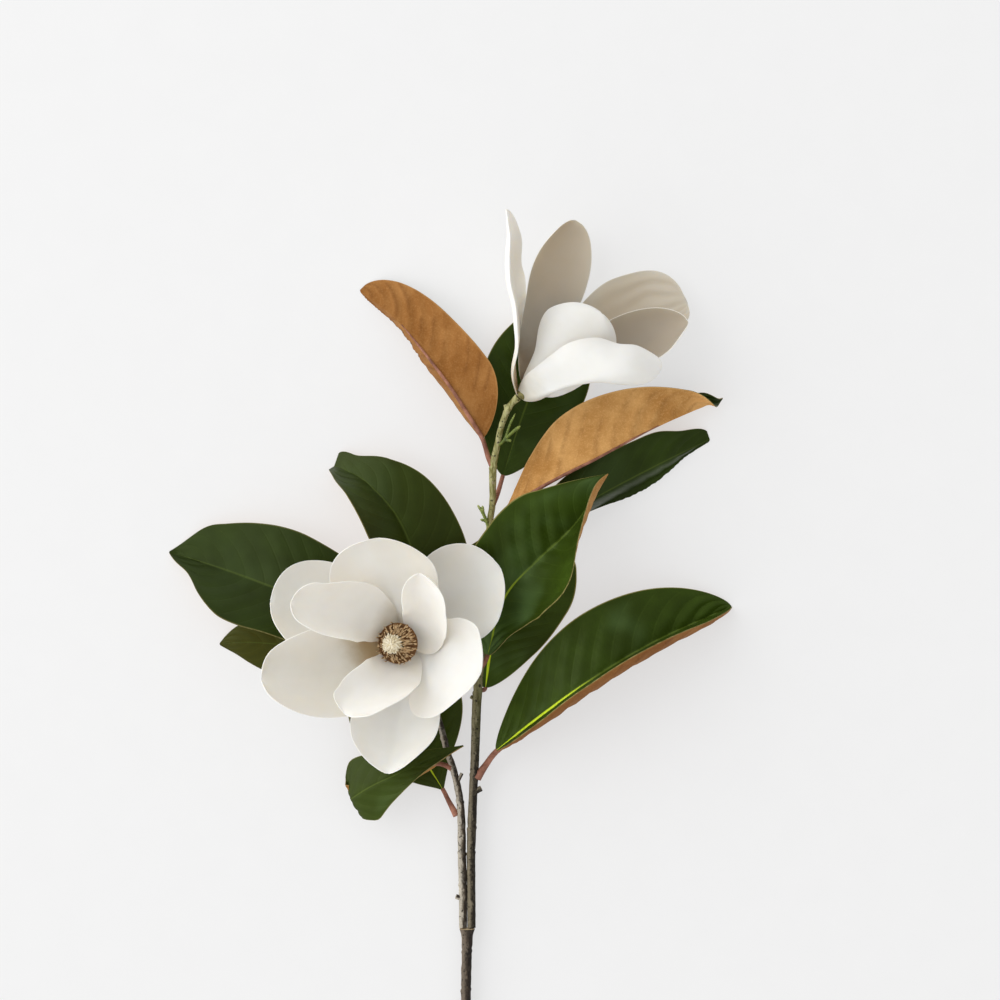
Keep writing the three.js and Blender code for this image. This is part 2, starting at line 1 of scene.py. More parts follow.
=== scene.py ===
# Magnolia branch: an open flower, a cup-shaped flower and twelve leaves on two shoots, lying on a pale table.
import math
import random

import bpy
import numpy as np
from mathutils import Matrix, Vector, noise


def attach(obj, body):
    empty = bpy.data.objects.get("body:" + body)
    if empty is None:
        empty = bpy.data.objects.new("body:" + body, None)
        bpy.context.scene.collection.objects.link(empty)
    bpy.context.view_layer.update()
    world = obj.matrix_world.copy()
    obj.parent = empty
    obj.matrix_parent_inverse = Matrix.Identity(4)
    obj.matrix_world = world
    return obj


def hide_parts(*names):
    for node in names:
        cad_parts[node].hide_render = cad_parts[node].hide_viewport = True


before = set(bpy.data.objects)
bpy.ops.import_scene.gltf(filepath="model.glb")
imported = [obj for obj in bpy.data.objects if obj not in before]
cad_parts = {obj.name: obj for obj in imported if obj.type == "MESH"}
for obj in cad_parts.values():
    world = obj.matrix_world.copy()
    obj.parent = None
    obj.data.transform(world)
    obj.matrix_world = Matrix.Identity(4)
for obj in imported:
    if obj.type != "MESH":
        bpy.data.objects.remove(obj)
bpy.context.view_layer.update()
print("frame in, nodes:", len(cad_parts))

mm = 0.001
curveSamples = 801

# Every list of places below is in millimetres, measured from a point beside the right shoot.
# The cut end of the main stem says how far that is from the frame's own zero.
stemCutEnd = np.array([-22.4, -458.3, 3.5])
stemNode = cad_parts["main_stem"]
stemPoints = np.array([tuple(v.co) for v in stemNode.data.vertices])
cutRing = stemPoints[stemPoints[:, 1] < stemPoints[:, 1].min() + 0.0005]
layoutShift = (cutRing.min(axis=0) + cutRing.max(axis=0)) / 2 - stemCutEnd * mm


def smoothThrough(values, t):
    # a smooth line through evenly spaced values, t from 0 to 1
    values = np.array(values, float)
    if values.ndim == 0:
        return np.full(np.shape(t), float(values))
    flat = values.ndim == 1
    if flat:
        values = values[:, None]
    last = len(values) - 1
    ends = np.vstack([2 * values[0] - values[1], values, 2 * values[-1] - values[-2]])
    x = np.clip(np.array(t, float), 0, 1) * last
    i = np.minimum(np.floor(x).astype(int), last - 1)
    w = (x - i)[..., None]
    a, b, c, d = ends[i], ends[i + 1], ends[i + 2], ends[i + 3]
    out = b + 0.5 * w * (c - a + w * (2 * a - 5 * b + 4 * c - d + w * (3 * (b - c) + d - a)))
    return out[..., 0] if flat else out


def unit(vectors):
    return vectors / np.linalg.norm(vectors, axis=-1, keepdims=True)


def carryFrames(points, up, steps=160):
    # places, directions and untwisted normals at equal distances along a curve
    fine = np.linspace(0, 1, curveSamples)
    dense = smoothThrough(points, fine)
    run = np.concatenate([[0], np.cumsum(np.linalg.norm(np.diff(dense, axis=0), axis=1))])
    share = np.linspace(0, 1, steps + 1)
    t = np.interp(share * run[-1], run, fine)
    nudge = 1e-4
    before, after = np.clip(t - nudge, 0, 1), np.clip(t + nudge, 0, 1)
    ahead = unit(smoothThrough(points, after) - smoothThrough(points, before))
    normals = []
    normal = np.array(up, float)
    for direction in ahead:
        normal = unit(normal - direction * normal.dot(direction))
        normals.append(normal)
    return dict(share=share, t=t, place=smoothThrough(points, t), ahead=ahead,
                normal=np.array(normals), length=run[-1])


def frameAt(frames, u):
    def read(key):
        return np.stack([np.interp(u, frames["share"], frames[key][:, k]) for k in range(3)], axis=-1)
    ahead = unit(read("ahead"))
    normal = read("normal")
    normal = unit(normal - ahead * np.sum(ahead * normal, axis=-1, keepdims=True))
    return read("place"), ahead, normal


def clearSelection():
    bpy.ops.object.select_all(action="DESELECT")


def selectOnly(piece):
    clearSelection()
    piece.select_set(True)
    bpy.context.view_layer.objects.active = piece


def addSheet(name, across, lengthwise):
    # a flat grid, with the order of its points from row to row and their shares across and along
    clearSelection()
    bpy.ops.mesh.primitive_grid_add(x_subdivisions=across, y_subdivisions=lengthwise, size=1)
    piece = bpy.context.object
    piece.name = name
    piece.data.name = name
    flat = readPlaces(piece)
    order = np.lexsort((flat[:, 0].round(5), flat[:, 1].round(5)))
    shape = (lengthwise + 1, across + 1)
    return piece, order, (flat[order, 0] + 0.5).reshape(shape), (flat[order, 1] + 0.5).reshape(shape)


def readPlaces(piece):
    flat = np.empty(3 * len(piece.data.vertices))
    piece.data.vertices.foreach_get("co", flat)
    return flat.reshape(-1, 3)


def setPlaces(piece, order, places):
    moved = np.empty((len(order), 3))
    moved[order] = places.reshape(-1, 3)
    piece.data.vertices.foreach_set("co", moved.ravel())
    piece.data.update()


def setMap(piece, order, across, lengthwise):
    # the piece's own UV map: across in x and along in y
    values = np.empty((len(order), 2))
    values[order] = np.stack([across.ravel(), lengthwise.ravel()], axis=-1)
    corners = np.empty(len(piece.data.loops), int)
    piece.data.loops.foreach_get("vertex_index", corners)
    piece.data.uv_layers[0].data.foreach_set("uv", values[corners].ravel())


def setTone(piece, tone):
    # a colour attribute that the materials read, the same all over the piece; it also carries the shares of
    # painted light and shade
    layer = piece.data.attributes.new("tone", "FLOAT_COLOR", "POINT")
    layer.data.foreach_set("color", np.tile([*tone, 1.0], len(piece.data.vertices)))


def placed(points):
    return points * mm + layoutShift


def joinInto(piece, others):
    clearSelection()
    for other in others:
        other.select_set(True)
    piece.select_set(True)
    bpy.context.view_layer.objects.active = piece
    bpy.ops.object.join()


def smoothFaces(piece, angle):
    selectOnly(piece)
    bpy.ops.object.shade_smooth_by_angle(angle=math.radians(angle))


tubeGap = 1e-7
cutRim, woodInset, woodDepth = 0.5, 0.35, 0.3  # of a cut end: its rim of bark, the slope inside it, its depth


def weldSeam(piece, gap, fillEnds):
    selectOnly(piece)
    bpy.ops.object.mode_set(mode="EDIT")
    bpy.ops.mesh.select_all(action="SELECT")
    bpy.ops.mesh.remove_doubles(threshold=gap)
    if fillEnds:
        bpy.ops.mesh.fill_holes(sides=0)
        bpy.ops.mesh.select_all(action="SELECT")
    bpy.ops.mesh.normals_make_consistent(inside=False)
    bpy.ops.object.mode_set(mode="OBJECT")


def addTube(name, points, radii, around, step, materials, up=(0, 0, 1), relief=None, cut=False):
    # a sheet rolled round a curve, welded along its seam and closed at both ends
    frames = carryFrames(points, up)
    rows = max(3, int(round(frames["length"] / step)))
    piece, order, across, lengthwise = addSheet(name, around, rows)
    setMap(piece, order, across, lengthwise)
    place, ahead, normal = frameAt(frames, lengthwise)
    side = np.cross(ahead, normal)
    turn = -2 * np.pi * across
    radius = smoothThrough(radii, np.interp(lengthwise, frames["share"], frames["t"]))
    outward = side * np.cos(turn)[..., None] + normal * np.sin(turn)[..., None]
    points = place + outward * radius[..., None]
    if relief:
        points = points + outward * relief(points, across, lengthwise * frames["length"])[..., None]
    setPlaces(piece, order, placed(points))
    for material in materials:
        piece.data.materials.append(material)
    weldSeam(piece, tubeGap, True)
    if cut:
        finishCut(piece)
    return piece


def finishCut(piece):
    # the end faces of a cut stem: a rim of bark, and bare wood a little lower inside it
    for face in piece.data.polygons:
        face.select = len(face.vertices) > 4
    bpy.ops.object.mode_set(mode="EDIT")
    bpy.ops.mesh.select_mode(type="FACE")
    bpy.ops.mesh.inset(thickness=cutRim * mm, depth=0)
    bpy.ops.mesh.inset(thickness=woodInset * mm, depth=-woodDepth * mm)
    bpy.ops.object.mode_set(mode="OBJECT")
    for face in piece.data.polygons:
        if len(face.vertices) > 4:
            face.material_index = 1


def finishPiece(piece, node):
    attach(piece, "root")
    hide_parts(node)


def cloudiness(points, scale, seed=0.0):
    # smooth noise from -1 to 1 at every point, scale in features per metre
    flat = points.reshape(-1, 3)
    offset = Vector((seed, 3.1 * seed, 7.7))
    values = [noise.noise(Vector(p) * scale + offset) for p in flat]
    return np.array(values).reshape(points.shape[:-1])


def newMaterial(name):
    material = bpy.data.materials.new(name)
    material.use_nodes = True
    tree = material.node_tree
    return material, tree, tree.nodes["Principled BSDF"]


def addNode(tree, kind, inputs=None, **settings):
    node = tree.nodes.new(kind)
    for key, value in settings.items():
        setattr(node, key, value)
    for key, value in (inputs or {}).items():
        if isinstance(value, bpy.types.NodeSocket):
            tree.links.new(value, node.inputs[key])
        else:
            node.inputs[key].default_value = value
    return node


def calc(tree, operation, *values):
    return addNode(tree, "ShaderNodeMath", dict(enumerate(values)), operation=operation).outputs[0]


def times(tree, first, second):
    return calc(tree, "MULTIPLY", first, second)


def ramp(tree, value, low, high, start=0.0, end=1.0, kind="SMOOTHSTEP"):
    # start below low, end above high, and an eased or straight step between them
    inputs = {"Value": value, "From Min": low, "From Max": high, "To Min": start, "To Max": end}
    return addNode(tree, "ShaderNodeMapRange", inputs, interpolation_type=kind).outputs["Result"]


def mixColours(tree, share, first, second, mode="MIX"):
    inputs = {0: share, 6: first, 7: second}
    return addNode(tree, "ShaderNodeMix", inputs, data_type="RGBA", blend_type=mode).outputs[2]


def rgb(red, green, blue):
    # a colour given as it looks on screen, from 0 to 255
    def linear(level):
        level = level / 255
        return level / 12.92 if level <= 0.04045 else ((level + 0.055) / 1.055) ** 2.4
    return (linear(red), linear(green), linear(blue), 1.0)


def objectPlace(tree, scale=(1, 1, 1)):
    place = addNode(tree, "ShaderNodeTexCoord").outputs["Object"]
    return addNode(tree, "ShaderNodeMapping", {"Vector": place, "Scale": scale}).outputs[0]


def speckle(tree, place, scale, detail=4.0, roughness=0.55, distortion=0.0):
    inputs = {"Vector": place, "Scale": scale, "Detail": detail, "Roughness": roughness,
              "Distortion": distortion}
    return addNode(tree, "ShaderNodeTexNoise", inputs).outputs["Fac"]


def mapShares(tree):
    # the piece's own map: how far from the middle line and how far along, both from 0 to 1
    here = addNode(tree, "ShaderNodeUVMap", uv_map="UVMap").outputs[0]
    split = addNode(tree, "ShaderNodeSeparateXYZ", {0: here})
    signed = calc(tree, "MULTIPLY_ADD", split.outputs[0], 2.0, -1.0)
    return calc(tree, "ABSOLUTE", signed), split.outputs[1]


def toneParts(tree):
    tone = addNode(tree, "ShaderNodeAttribute", attribute_name="tone").outputs["Color"]
    return addNode(tree, "ShaderNodeSeparateColor", {0: tone}).outputs


def bump(tree, height, strength, distance, under=None):
    inputs = {"Height": height, "Strength": strength, "Distance": distance}
    if under:
        inputs["Normal"] = under
    return addNode(tree, "ShaderNodeBump", inputs).outputs[0]


def dress(tree, surface, colour, normal):
    tree.links.new(colour, surface.inputs["Base Color"])
    tree.links.new(normal, surface.inputs["Normal"])


veinPairs = 12  # side veins in each half of a leaf
veinLean = 2.3  # how many vein gaps a side vein climbs between the midrib and the margin
veinBow = 1.25  # 1 for straight side veins, more for bowed ones
veinWidth = 0.09


def veinPhase(u, s):
    return u * veinPairs - s ** veinBow * veinLean


def veinLines(tree, off, along):
    # 1 on a side vein, 0 between two of them
    lean = times(tree, calc(tree, "POWER", off, veinBow), veinLean)
    phase = calc(tree, "SUBTRACT", times(tree, along, float(veinPairs)), lean)
    away = calc(tree, "PINGPONG", phase, 0.5)  # 0 on the vein, 0.5 half-way
    return ramp(tree, away, 0.0, veinWidth, 1.0, 0.0), away


def makeLeafTop():
    # waxy dark green with fine side veins, a yellow-green midrib near the root and a thin pale margin;
    # painted light and shade make each leaf lighter or darker, and painted sheen patches lighten it
    material, tree, surface = newMaterial("leafTop")
    off, along = mapShares(tree)
    tone = toneParts(tree)
    place = objectPlace(tree)
    mottled = speckle(tree, place, 26.0, 3.0)
    colour = mixColours(tree, ramp(tree, mottled, 0.35, 0.7), rgb(30, 41, 5), rgb(42, 57, 12))
    colour = mixColours(tree, tone[0], colour, rgb(68, 62, 4))
    lines, away = veinLines(tree, off, along)
    inner = ramp(tree, off, 0.75, 0.97, 1.0, 0.0)
    veins = times(tree, times(tree, lines, inner), 0.06)
    colour = mixColours(tree, veins, colour, rgb(70, 88, 34))
    between = times(tree, ramp(tree, away, 0.1, 0.5), 0.13)
    colour = mixColours(tree, between, colour, rgb(24, 36, 4))
    # painted sheen: soft lighter patches that stand in for gloss reflections, stronger on leaves with a
    # larger second share of tone
    paintedSheen = times(tree, ramp(tree, speckle(tree, place, 19.0, 2.0), 0.5, 0.72), inner)
    paintedSheen = times(tree, paintedSheen, calc(tree, "MULTIPLY_ADD", tone[1], 0.4, 0.08))
    colour = mixColours(tree, paintedSheen, colour, rgb(84, 108, 66))
    rib = ramp(tree, off, 0.012, 0.028, 1.0, 0.0)
    colour = mixColours(tree, times(tree, rib, 0.4), colour, rgb(84, 98, 36))
    stripeWidth = ramp(tree, along, 0.0, 0.42, 0.07, 0.02)
    stripe = ramp(tree, calc(tree, "DIVIDE", off, stripeWidth), 0.45, 1.0, 1.0, 0.0)
    stripe = times(tree, stripe, ramp(tree, along, 0.30, 0.46, 1.0, 0.0))
    stripe = times(tree, stripe, tone[2])
    colour = mixColours(tree, stripe, colour, rgb(170, 188, 40))
    margin = ramp(tree, off, 0.975, 0.995)
    colour = mixColours(tree, times(tree, margin, 0.5), colour, rgb(140, 130, 76))
    # painted light and shade: each leaf is made lighter or darker by the tone's second share, by how it is
    # lit
    paintedLightAndShade = mixColours(tree, tone[1], (0.72, 0.72, 0.72, 1), (2.6, 2.6, 2.6, 1))
    colour = mixColours(tree, 1.0, colour, paintedLightAndShade, mode="MULTIPLY")
    pores = speckle(tree, place, 1600.0, 2.0)
    height = calc(tree, "ADD", times(tree, lines, -0.45), times(tree, pores, 0.25))
    dress(tree, surface, colour, bump(tree, height, 0.35, 0.0004))
    gloss = ramp(tree, speckle(tree, place, 60.0, 3.0), 0.3, 0.7, 0.3, 0.44)
    tree.links.new(gloss, surface.inputs["Roughness"])
    surface.inputs["Specular IOR Level"].default_value = 0.3
    surface.inputs["Specular Tint"].default_value = (0.6, 0.78, 0.36, 1)
    return material


def makeLeafUnder():
    # tan felt, darker in soft streaks beside the side veins that are partly painted shade of wrinkles, and
    # made lighter or darker leaf by leaf with painted light and shade
    material, tree, surface = newMaterial("leafUnder")
    off, along = mapShares(tree)
    tone = toneParts(tree)
    place = objectPlace(tree)
    lines, away = veinLines(tree, off, along)
    cloud = speckle(tree, place, 34.0, 4.0, 0.6)
    colour = mixColours(tree, ramp(tree, cloud, 0.3, 0.7), rgb(152, 107, 54), rgb(184, 141, 86))
    # partly painted shade: the dark streaks beside the side veins stand in for shade in the felt's wrinkles
    broken = ramp(tree, speckle(tree, place, 70.0, 3.0), 0.42, 0.62)
    veinStreakShade = times(tree, ramp(tree, away, 0.0, 0.3, 1.0, 0.0), broken)
    colour = mixColours(tree, times(tree, veinStreakShade, 0.42), colour, rgb(118, 76, 34))
    fuzz = speckle(tree, place, 900.0, 3.0, 0.7)
    pale = times(tree, ramp(tree, fuzz, 0.45, 0.7), 0.28)
    colour = mixColours(tree, pale, colour, rgb(206, 166, 112))
    colour = mixColours(tree, ramp(tree, off, 0.95, 0.99, 0.0, 0.5), colour, rgb(196, 160, 106))
    # painted light and shade: each underside is made lighter or darker by the tone's third share, by how it
    # is lit
    paintedLightAndShade = mixColours(tree, tone[2], (1.42, 1.42, 1.42, 1), (0.62, 0.46, 0.32, 1))
    colour = mixColours(tree, 1.0, colour, paintedLightAndShade, mode="MULTIPLY")
    height = calc(tree, "ADD", fuzz, times(tree, lines, 0.3))
    dress(tree, surface, colour, bump(tree, height, 0.5, 0.0003))
    surface.inputs["Roughness"].default_value = 0.9
    surface.inputs["Specular IOR Level"].default_value = 0.15
    surface.inputs["Sheen Weight"].default_value = 0.1
    surface.inputs["Sheen Roughness"].default_value = 0.5
    surface.inputs["Sheen Tint"].default_value = rgb(236, 205, 160)
    return material


def makeLeafEdge():
    # thin dry margin between the two faces of a leaf
    material, tree, surface = newMaterial("leafEdge")
    cloud = speckle(tree, objectPlace(tree), 300.0, 3.0)
    colour = mixColours(tree, ramp(tree, cloud, 0.3, 0.7), rgb(96, 88, 44), rgb(150, 138, 88))
    tree.links.new(colour, surface.inputs["Base Color"])
    surface.inputs["Roughness"].default_value = 0.7
    surface.inputs["Specular IOR Level"].default_value = 0.2
    return material


def makePetiole():
    # pinkish brown stalk and midrib with a fine darker grain
    material, tree, surface = newMaterial("petiole")
    place = objectPlace(tree)
    cloud = speckle(tree, place, 120.0, 4.0, 0.6)
    colour = mixColours(tree, ramp(tree, cloud, 0.3, 0.7), rgb(112, 70, 54), rgb(172, 118, 96))
    grain = speckle(tree, place, 700.0, 3.0)
    colour = mixColours(tree, ramp(tree, grain, 0.5, 0.75, 0.0, 0.4), colour, rgb(104, 76, 52))
    dress(tree, surface, colour, bump(tree, grain, 0.3, 0.0003))
    surface.inputs["Roughness"].default_value = 0.62
    surface.inputs["Specular IOR Level"].default_value = 0.3
    return material


def makeTepal(name, body, shadow, paintedShadeShare):
    # thick matt cream petal with a soft blush, a tan root, painted shade greying the faces of petals that lie
    # in the shade of others, and a brighter thin margin that is a painted glow
    material, tree, surface = newMaterial(name)
    off, along = mapShares(tree)
    tone = toneParts(tree)
    place = objectPlace(tree)
    cloud = speckle(tree, place, 30.0, 3.0)
    colour = mixColours(tree, ramp(tree, cloud, 0.3, 0.75), body, shadow)
    blush = speckle(tree, place, 14.0, 2.0)
    colour = mixColours(tree, ramp(tree, blush, 0.5, 0.75, 0.0, 0.35), colour, rgb(226, 216, 202))
    wave = times(tree, speckle(tree, place, 160.0, 2.0), 0.08)
    reach = calc(tree, "ADD", calc(tree, "SUBTRACT", along, wave), times(tree, off, -0.03))
    end = calc(tree, "MULTIPLY_ADD", tone[2], 0.16, 0.24)
    root = ramp(tree, calc(tree, "DIVIDE", reach, end), 0.3, 1.0, 1.0, 0.0)
    colour = mixColours(tree, times(tree, root, times(tree, tone[0], 0.9)), colour, rgb(158, 130, 80))
    foot = times(tree, ramp(tree, reach, -0.02, 0.09, 1.0, 0.0), tone[0])
    colour = mixColours(tree, foot, colour, rgb(118, 96, 50))
    # painted shade: a grey multiplier, by the tone's second share and this face's share of it, darkens petals
    # that lie in the shade of others
    paintedShade = mixColours(tree, times(tree, tone[1], paintedShadeShare), (1, 1, 1, 1), rgb(148, 139, 126))
    colour = mixColours(tree, 1.0, colour, paintedShade, mode="MULTIPLY")
    # painted light: the brighter thin margin stands in for light showing through the thin edge
    margin = ramp(tree, off, 0.972, 0.995)
    colour = mixColours(tree, times(tree, margin, 0.15), colour, rgb(250, 247, 240))
    skin = speckle(tree, place, 700.0, 3.0)
    dress(tree, surface, colour, bump(tree, skin, 0.12, 0.0001))
    surface.inputs["Roughness"].default_value = 0.58
    surface.inputs["Specular IOR Level"].default_value = 0.3
    surface.inputs["Subsurface Weight"].default_value = 0.4
    surface.inputs["Subsurface Radius"].default_value = (1.0, 0.75, 0.5)
    surface.inputs["Subsurface Scale"].default_value = 0.006
    return material


def makeBark(name, deep, middle, pale, greenAbove=None):
    # rough bark with lengthwise cracks, pale flakes and small dark spots
    material, tree, surface = newMaterial(name)
    place = objectPlace(tree)
    drawn = objectPlace(tree, (1.0, 0.16, 1.0))
    cracks = speckle(tree, drawn, 560.0, 4.0, 0.6, 0.4)
    flakes = speckle(tree, objectPlace(tree, (1.0, 0.5, 1.0)), 300.0, 4.0, 0.65)
    colour = mixColours(tree, ramp(tree, cracks, 0.43, 0.55), deep, middle)
    colour = mixColours(tree, ramp(tree, flakes, 0.53, 0.59, 0.0, 0.85), colour, pale)
    # painted light and shade: paler along the side that faces -x and darker along the other, as if lit from
    # -x; the map's middle is the side that faces -x
    off = mapShares(tree)[0]
    paintedSideLight = calc(tree, "ADD", off, calc(tree, "MULTIPLY_ADD", flakes, 1.2, -0.6))
    colour = mixColours(tree, ramp(tree, paintedSideLight, 0.32, 0.56, 0.7, 0.0), colour, pale)
    colour = mixColours(tree, ramp(tree, paintedSideLight, 0.45, 0.66, 0.0, 0.8), colour, deep)
    if greenAbove is not None:
        # the shoot turns young and olive green towards its upper end
        start, end, young, youngPale = greenAbove
        split = addNode(tree, "ShaderNodeSeparateXYZ", {0: place}).outputs[1]
        reach = calc(tree, "ADD", split, times(tree, flakes, 0.03))
        green = mixColours(tree, ramp(tree, cracks, 0.38, 0.66), young, youngPale)
        green = mixColours(tree, ramp(tree, flakes, 0.60, 0.70, 0.0, 0.75), green, rgb(168, 152, 132))
        colour = mixColours(tree, ramp(tree, reach, start, end), colour, green)
    spots = speckle(tree, place, 520.0, 2.0)
    colour = mixColours(tree, ramp(tree, spots, 0.60, 0.66, 0.0, 0.85), colour, rgb(30, 24, 19))
    dress(tree, surface, colour, bump(tree, flakes, 0.35, 0.0004, bump(tree, cracks, 0.5, 0.0004)))
    tree.links.new(ramp(tree, flakes, 0.4, 0.7, 0.72, 0.9), surface.inputs["Roughness"])
    surface.inputs["Specular IOR Level"].default_value = 0.25
    return material


def makeMottled(name, grain, dark, light, relief, roughness, tint=None):
    # two mottled colours, and over part of the length a tint: where it starts and ends,
    # its share at those two places, and its colour
    material, tree, surface = newMaterial(name)
    cloud = speckle(tree, objectPlace(tree), *grain)
    colour = mixColours(tree, ramp(tree, cloud, 0.3, 0.7), dark, light)
    if tint:
        start, end, startShare, endShare, over = tint
        share = ramp(tree, mapShares(tree)[1], start, end, startShare, endShare)
        colour = mixColours(tree, share, colour, over)
    dress(tree, surface, colour, bump(tree, cloud, *relief))
    surface.inputs["Roughness"].default_value = roughness
    return material


def makeStamen():
    # tan strap, dark brown at its foot and paler towards its tip; the pale tip is partly a painted highlight
    material, tree, surface = newMaterial("stamenTan")
    along = mapShares(tree)[1]
    cloud = speckle(tree, objectPlace(tree), 420.0, 3.0, 0.6)
    colour = mixColours(tree, ramp(tree, cloud, 0.34, 0.66), rgb(118, 82, 46), rgb(182, 144, 96))
    # partly painted highlight: the pale tip stands in for light on the curled crest of each stamen
    colour = mixColours(tree, ramp(tree, along, 0.5, 0.9, 0.0, 0.7), colour, rgb(216, 188, 146))
    colour = mixColours(tree, ramp(tree, along, 0.15, 0.5, 0.9, 0.0), colour, rgb(92, 60, 30))
    dress(tree, surface, colour, bump(tree, cloud, 0.3, 0.0002))
    surface.inputs["Roughness"].default_value = 0.7
    surface.inputs["Specular IOR Level"].default_value = 0.25
    return material


leafTop = makeLeafTop()
leafUnder = makeLeafUnder()
leafEdge = makeLeafEdge()
petioleSkin = makePetiole()
# painted shade falls fully on the inner faces and only a little on the outer ones
tepalInside = makeTepal("tepalInside", rgb(246, 242, 234), rgb(239, 234, 224), 1.0)
tepalOutside = makeTepal("tepalOutside", rgb(250, 247, 239), rgb(242, 238, 228), 0.1)
mainBark = makeBark("mainBark", rgb(30, 24, 20), rgb(70, 58, 47), rgb(118, 106, 92))
leftBark = makeBark("leftBark", rgb(38, 31, 24), rgb(96, 84, 68), rgb(194, 186, 170))
rightBark = makeBark("rightBark", rgb(27, 22, 16), rgb(62, 55, 41), rgb(138, 128, 106),
                     (-0.02, 0.1, rgb(118, 114, 62), rgb(176, 173, 124)))
cutWood = makeMottled("cutWood", (1400.0, 4.0), rgb(176, 150, 108), rgb(214, 194, 152), (0.4, 0.0002), 0.85)
# fresh green twigs with paler tips
lowSprigGreen = makeMottled("lowSprigGreen", (500.0, 4.0), rgb(98, 116, 44), rgb(150, 162, 86),
                            (0.4, 0.0003), 0.6, tint=(0.7, 1.0, 0.0, 0.6, rgb(182, 188, 124)))
highSprigGreen = makeMottled("highSprigGreen", (500.0, 4.0), rgb(66, 82, 24), rgb(112, 126, 44),
                             (0.4, 0.0003), 0.6, tint=(0.7, 1.0, 0.0, 0.6, rgb(150, 162, 78)))
stamenTan = makeStamen()
# pale cream styles, darker at their foot
carpelCream = makeMottled("carpelCream", (380.0, 3.0), rgb(222, 208, 174), rgb(244, 236, 214),
                          (0.25, 0.0002), 0.55, tint=(0.0, 0.45, 0.7, 0.0, rgb(168, 146, 96)))
# the greenish brown knob that the petals grow from, paler towards its top
receptacleSkin = makeMottled("receptacle", (420.0, 4.0), rgb(92, 86, 44), rgb(138, 130, 76),
                             (0.5, 0.0004), 0.7, tint=(0.66, 0.8, 0.0, 1.0, rgb(222, 208, 172)))
print("materials made")


mainStem = dict(
    name="mainStem", node="main_stem",
    bark=mainBark, sides=32, step=0.9, cut=True,
    path=[
        [-22.4, -458.3, 3.5], [-21.8, -386, 4.6], [-21.2, -311, 6.5], [-20.5, -275, 7.6], [-20.4, -266.4, 8],
    ],
    radii=[3.4, 3.3, 3.4, 3.7, 5.2],
    scars=[-281, -305, -343, -391, -432],  # ring scars, by how far along the branch they lie
    lump=0.35, seed=1.7,
)
leftShoot = dict(
    name="leftShoot", node="left_shoot",
    bark=leftBark, sides=24, step=0.8, cut=False,
    path=[
        [-23, -266, 8], [-23, -242, 9], [-23.6, -222, 10], [-24.2, -194, 12], [-26.1, -179, 13.7],
        [-29.1, -166, 15.5], [-32.8, -155.5, 17], [-36.5, -140.5, 19], [-43.3, -120.5, 21.5],
        [-51, -104, 23.5], [-56, -94, 26], [-57.4, -89.5, 28.5], [-58.4, -88, 31.8],
    ],
    radii=[2.5, 2.6, 2.6, 2.4, 2.2, 2.1, 2, 1.9, 1.9, 1.9, 2.1, 2.3, 2.6],
    scars=[-219.5, -240, -187, -148], lump=0.3, seed=4.1,
    stubs=[
        [[-23.2, -248, 8.8], [-27.4, -246.5, 9.5], 1.6],
        [[-26.8, -176, 14.2], [-23.6, -169.5, 15.5], 1.1],
    ],
)
rightShoot = dict(
    name="rightShoot", node="right_shoot",
    bark=rightBark, sides=24, step=0.8, cut=False,
    path=[
        [-17.7, -266, 8], [-18, -222, 10], [-17.4, -201, 11], [-16.8, -185, 12], [-15.5, -158, 14],
        [-14.3, -124, 16], [-11.8, -96, 18], [-8.7, -56, 20], [-6.8, -18.5, 22], [-4.7, -2.5, 24],
        [-4.2, 20.3, 28], [-1.8, 33.2, 31], [0.6, 44.3, 33], [4.3, 54.6, 36], [7.6, 59.6, 38.2],
        [11.2, 63, 39.7],
    ],
    radii=[2.6, 2.7, 2.8, 2.7, 2.7, 2.9, 2.5, 2.3, 2.1, 2, 2.3, 1.9, 1.8, 1.9, 1.9, 2.4],
    scars=[-219.5, -204, -170, -119, -49, -19, 20, 55], lump=0.25, seed=8.3,
    stubs=[
        [[-16.7, -181.5, 12.2], [-11.6, -179, 12.6], 1.9],
        [[-14.3, -124, 16], [-18.2, -121.8, 16.6], 1.2],
        [[4.3, 54.6, 36], [3.4, 58.4, 36.8], 1.4],
    ],
)


scarRing = dict(height=0.36, width=0.8)
scarGroove = dict(depth=0.22, beside=1.7, width=0.7)
stubGrid = dict(around=14, step=0.45)
armGrid = dict(around=10, step=0.4)


def barkRelief(stem):
    # lengthwise ridges, small lumps and a raised ring with a groove beside it at every scar
    def relief(points, across, distance):
        meters = points * mm
        ridges = cloudiness(meters * np.array([1, 0.3, 1]), 900, stem["seed"])
        lumps = cloudiness(meters, 260, stem["seed"] + 5)
        out = 0.10 * ridges + 0.55 * stem["lump"] * lumps
        wobble = 0.5 * np.sin(2 * np.pi * across + stem["seed"])
        for scar in stem["scars"]:
            away = points[..., 1] - scar - wobble
            out = out + scarRing["height"] * np.exp(-(away / scarRing["width"]) ** 2)
            away = (away - scarGroove["beside"]) / scarGroove["width"]
            out = out - scarGroove["depth"] * np.exp(-away ** 2)
        return out
    return relief


def buildStem(stem):
    materials = [stem["bark"], cutWood]
    piece = addTube(stem["name"], stem["path"], stem["radii"], stem["sides"], stem["step"], materials,
                    relief=barkRelief(stem), cut=stem["cut"])
    pegs = []
    for foot, end, radius in stem.get("stubs", []):
        radii = [radius * 1.15, radius, radius * 0.96]
        middle = ((np.array(foot) + np.array(end)) / 2).tolist()
        pegs.append(addTube("stub", [foot, middle, end], radii, materials=materials, cut=True, **stubGrid))
    if pegs:
        joinInto(piece, pegs)
    smoothFaces(piece, 60)
    finishPiece(piece, stem["node"])


for stem in (mainStem, leftShoot, rightShoot):
    buildStem(stem)

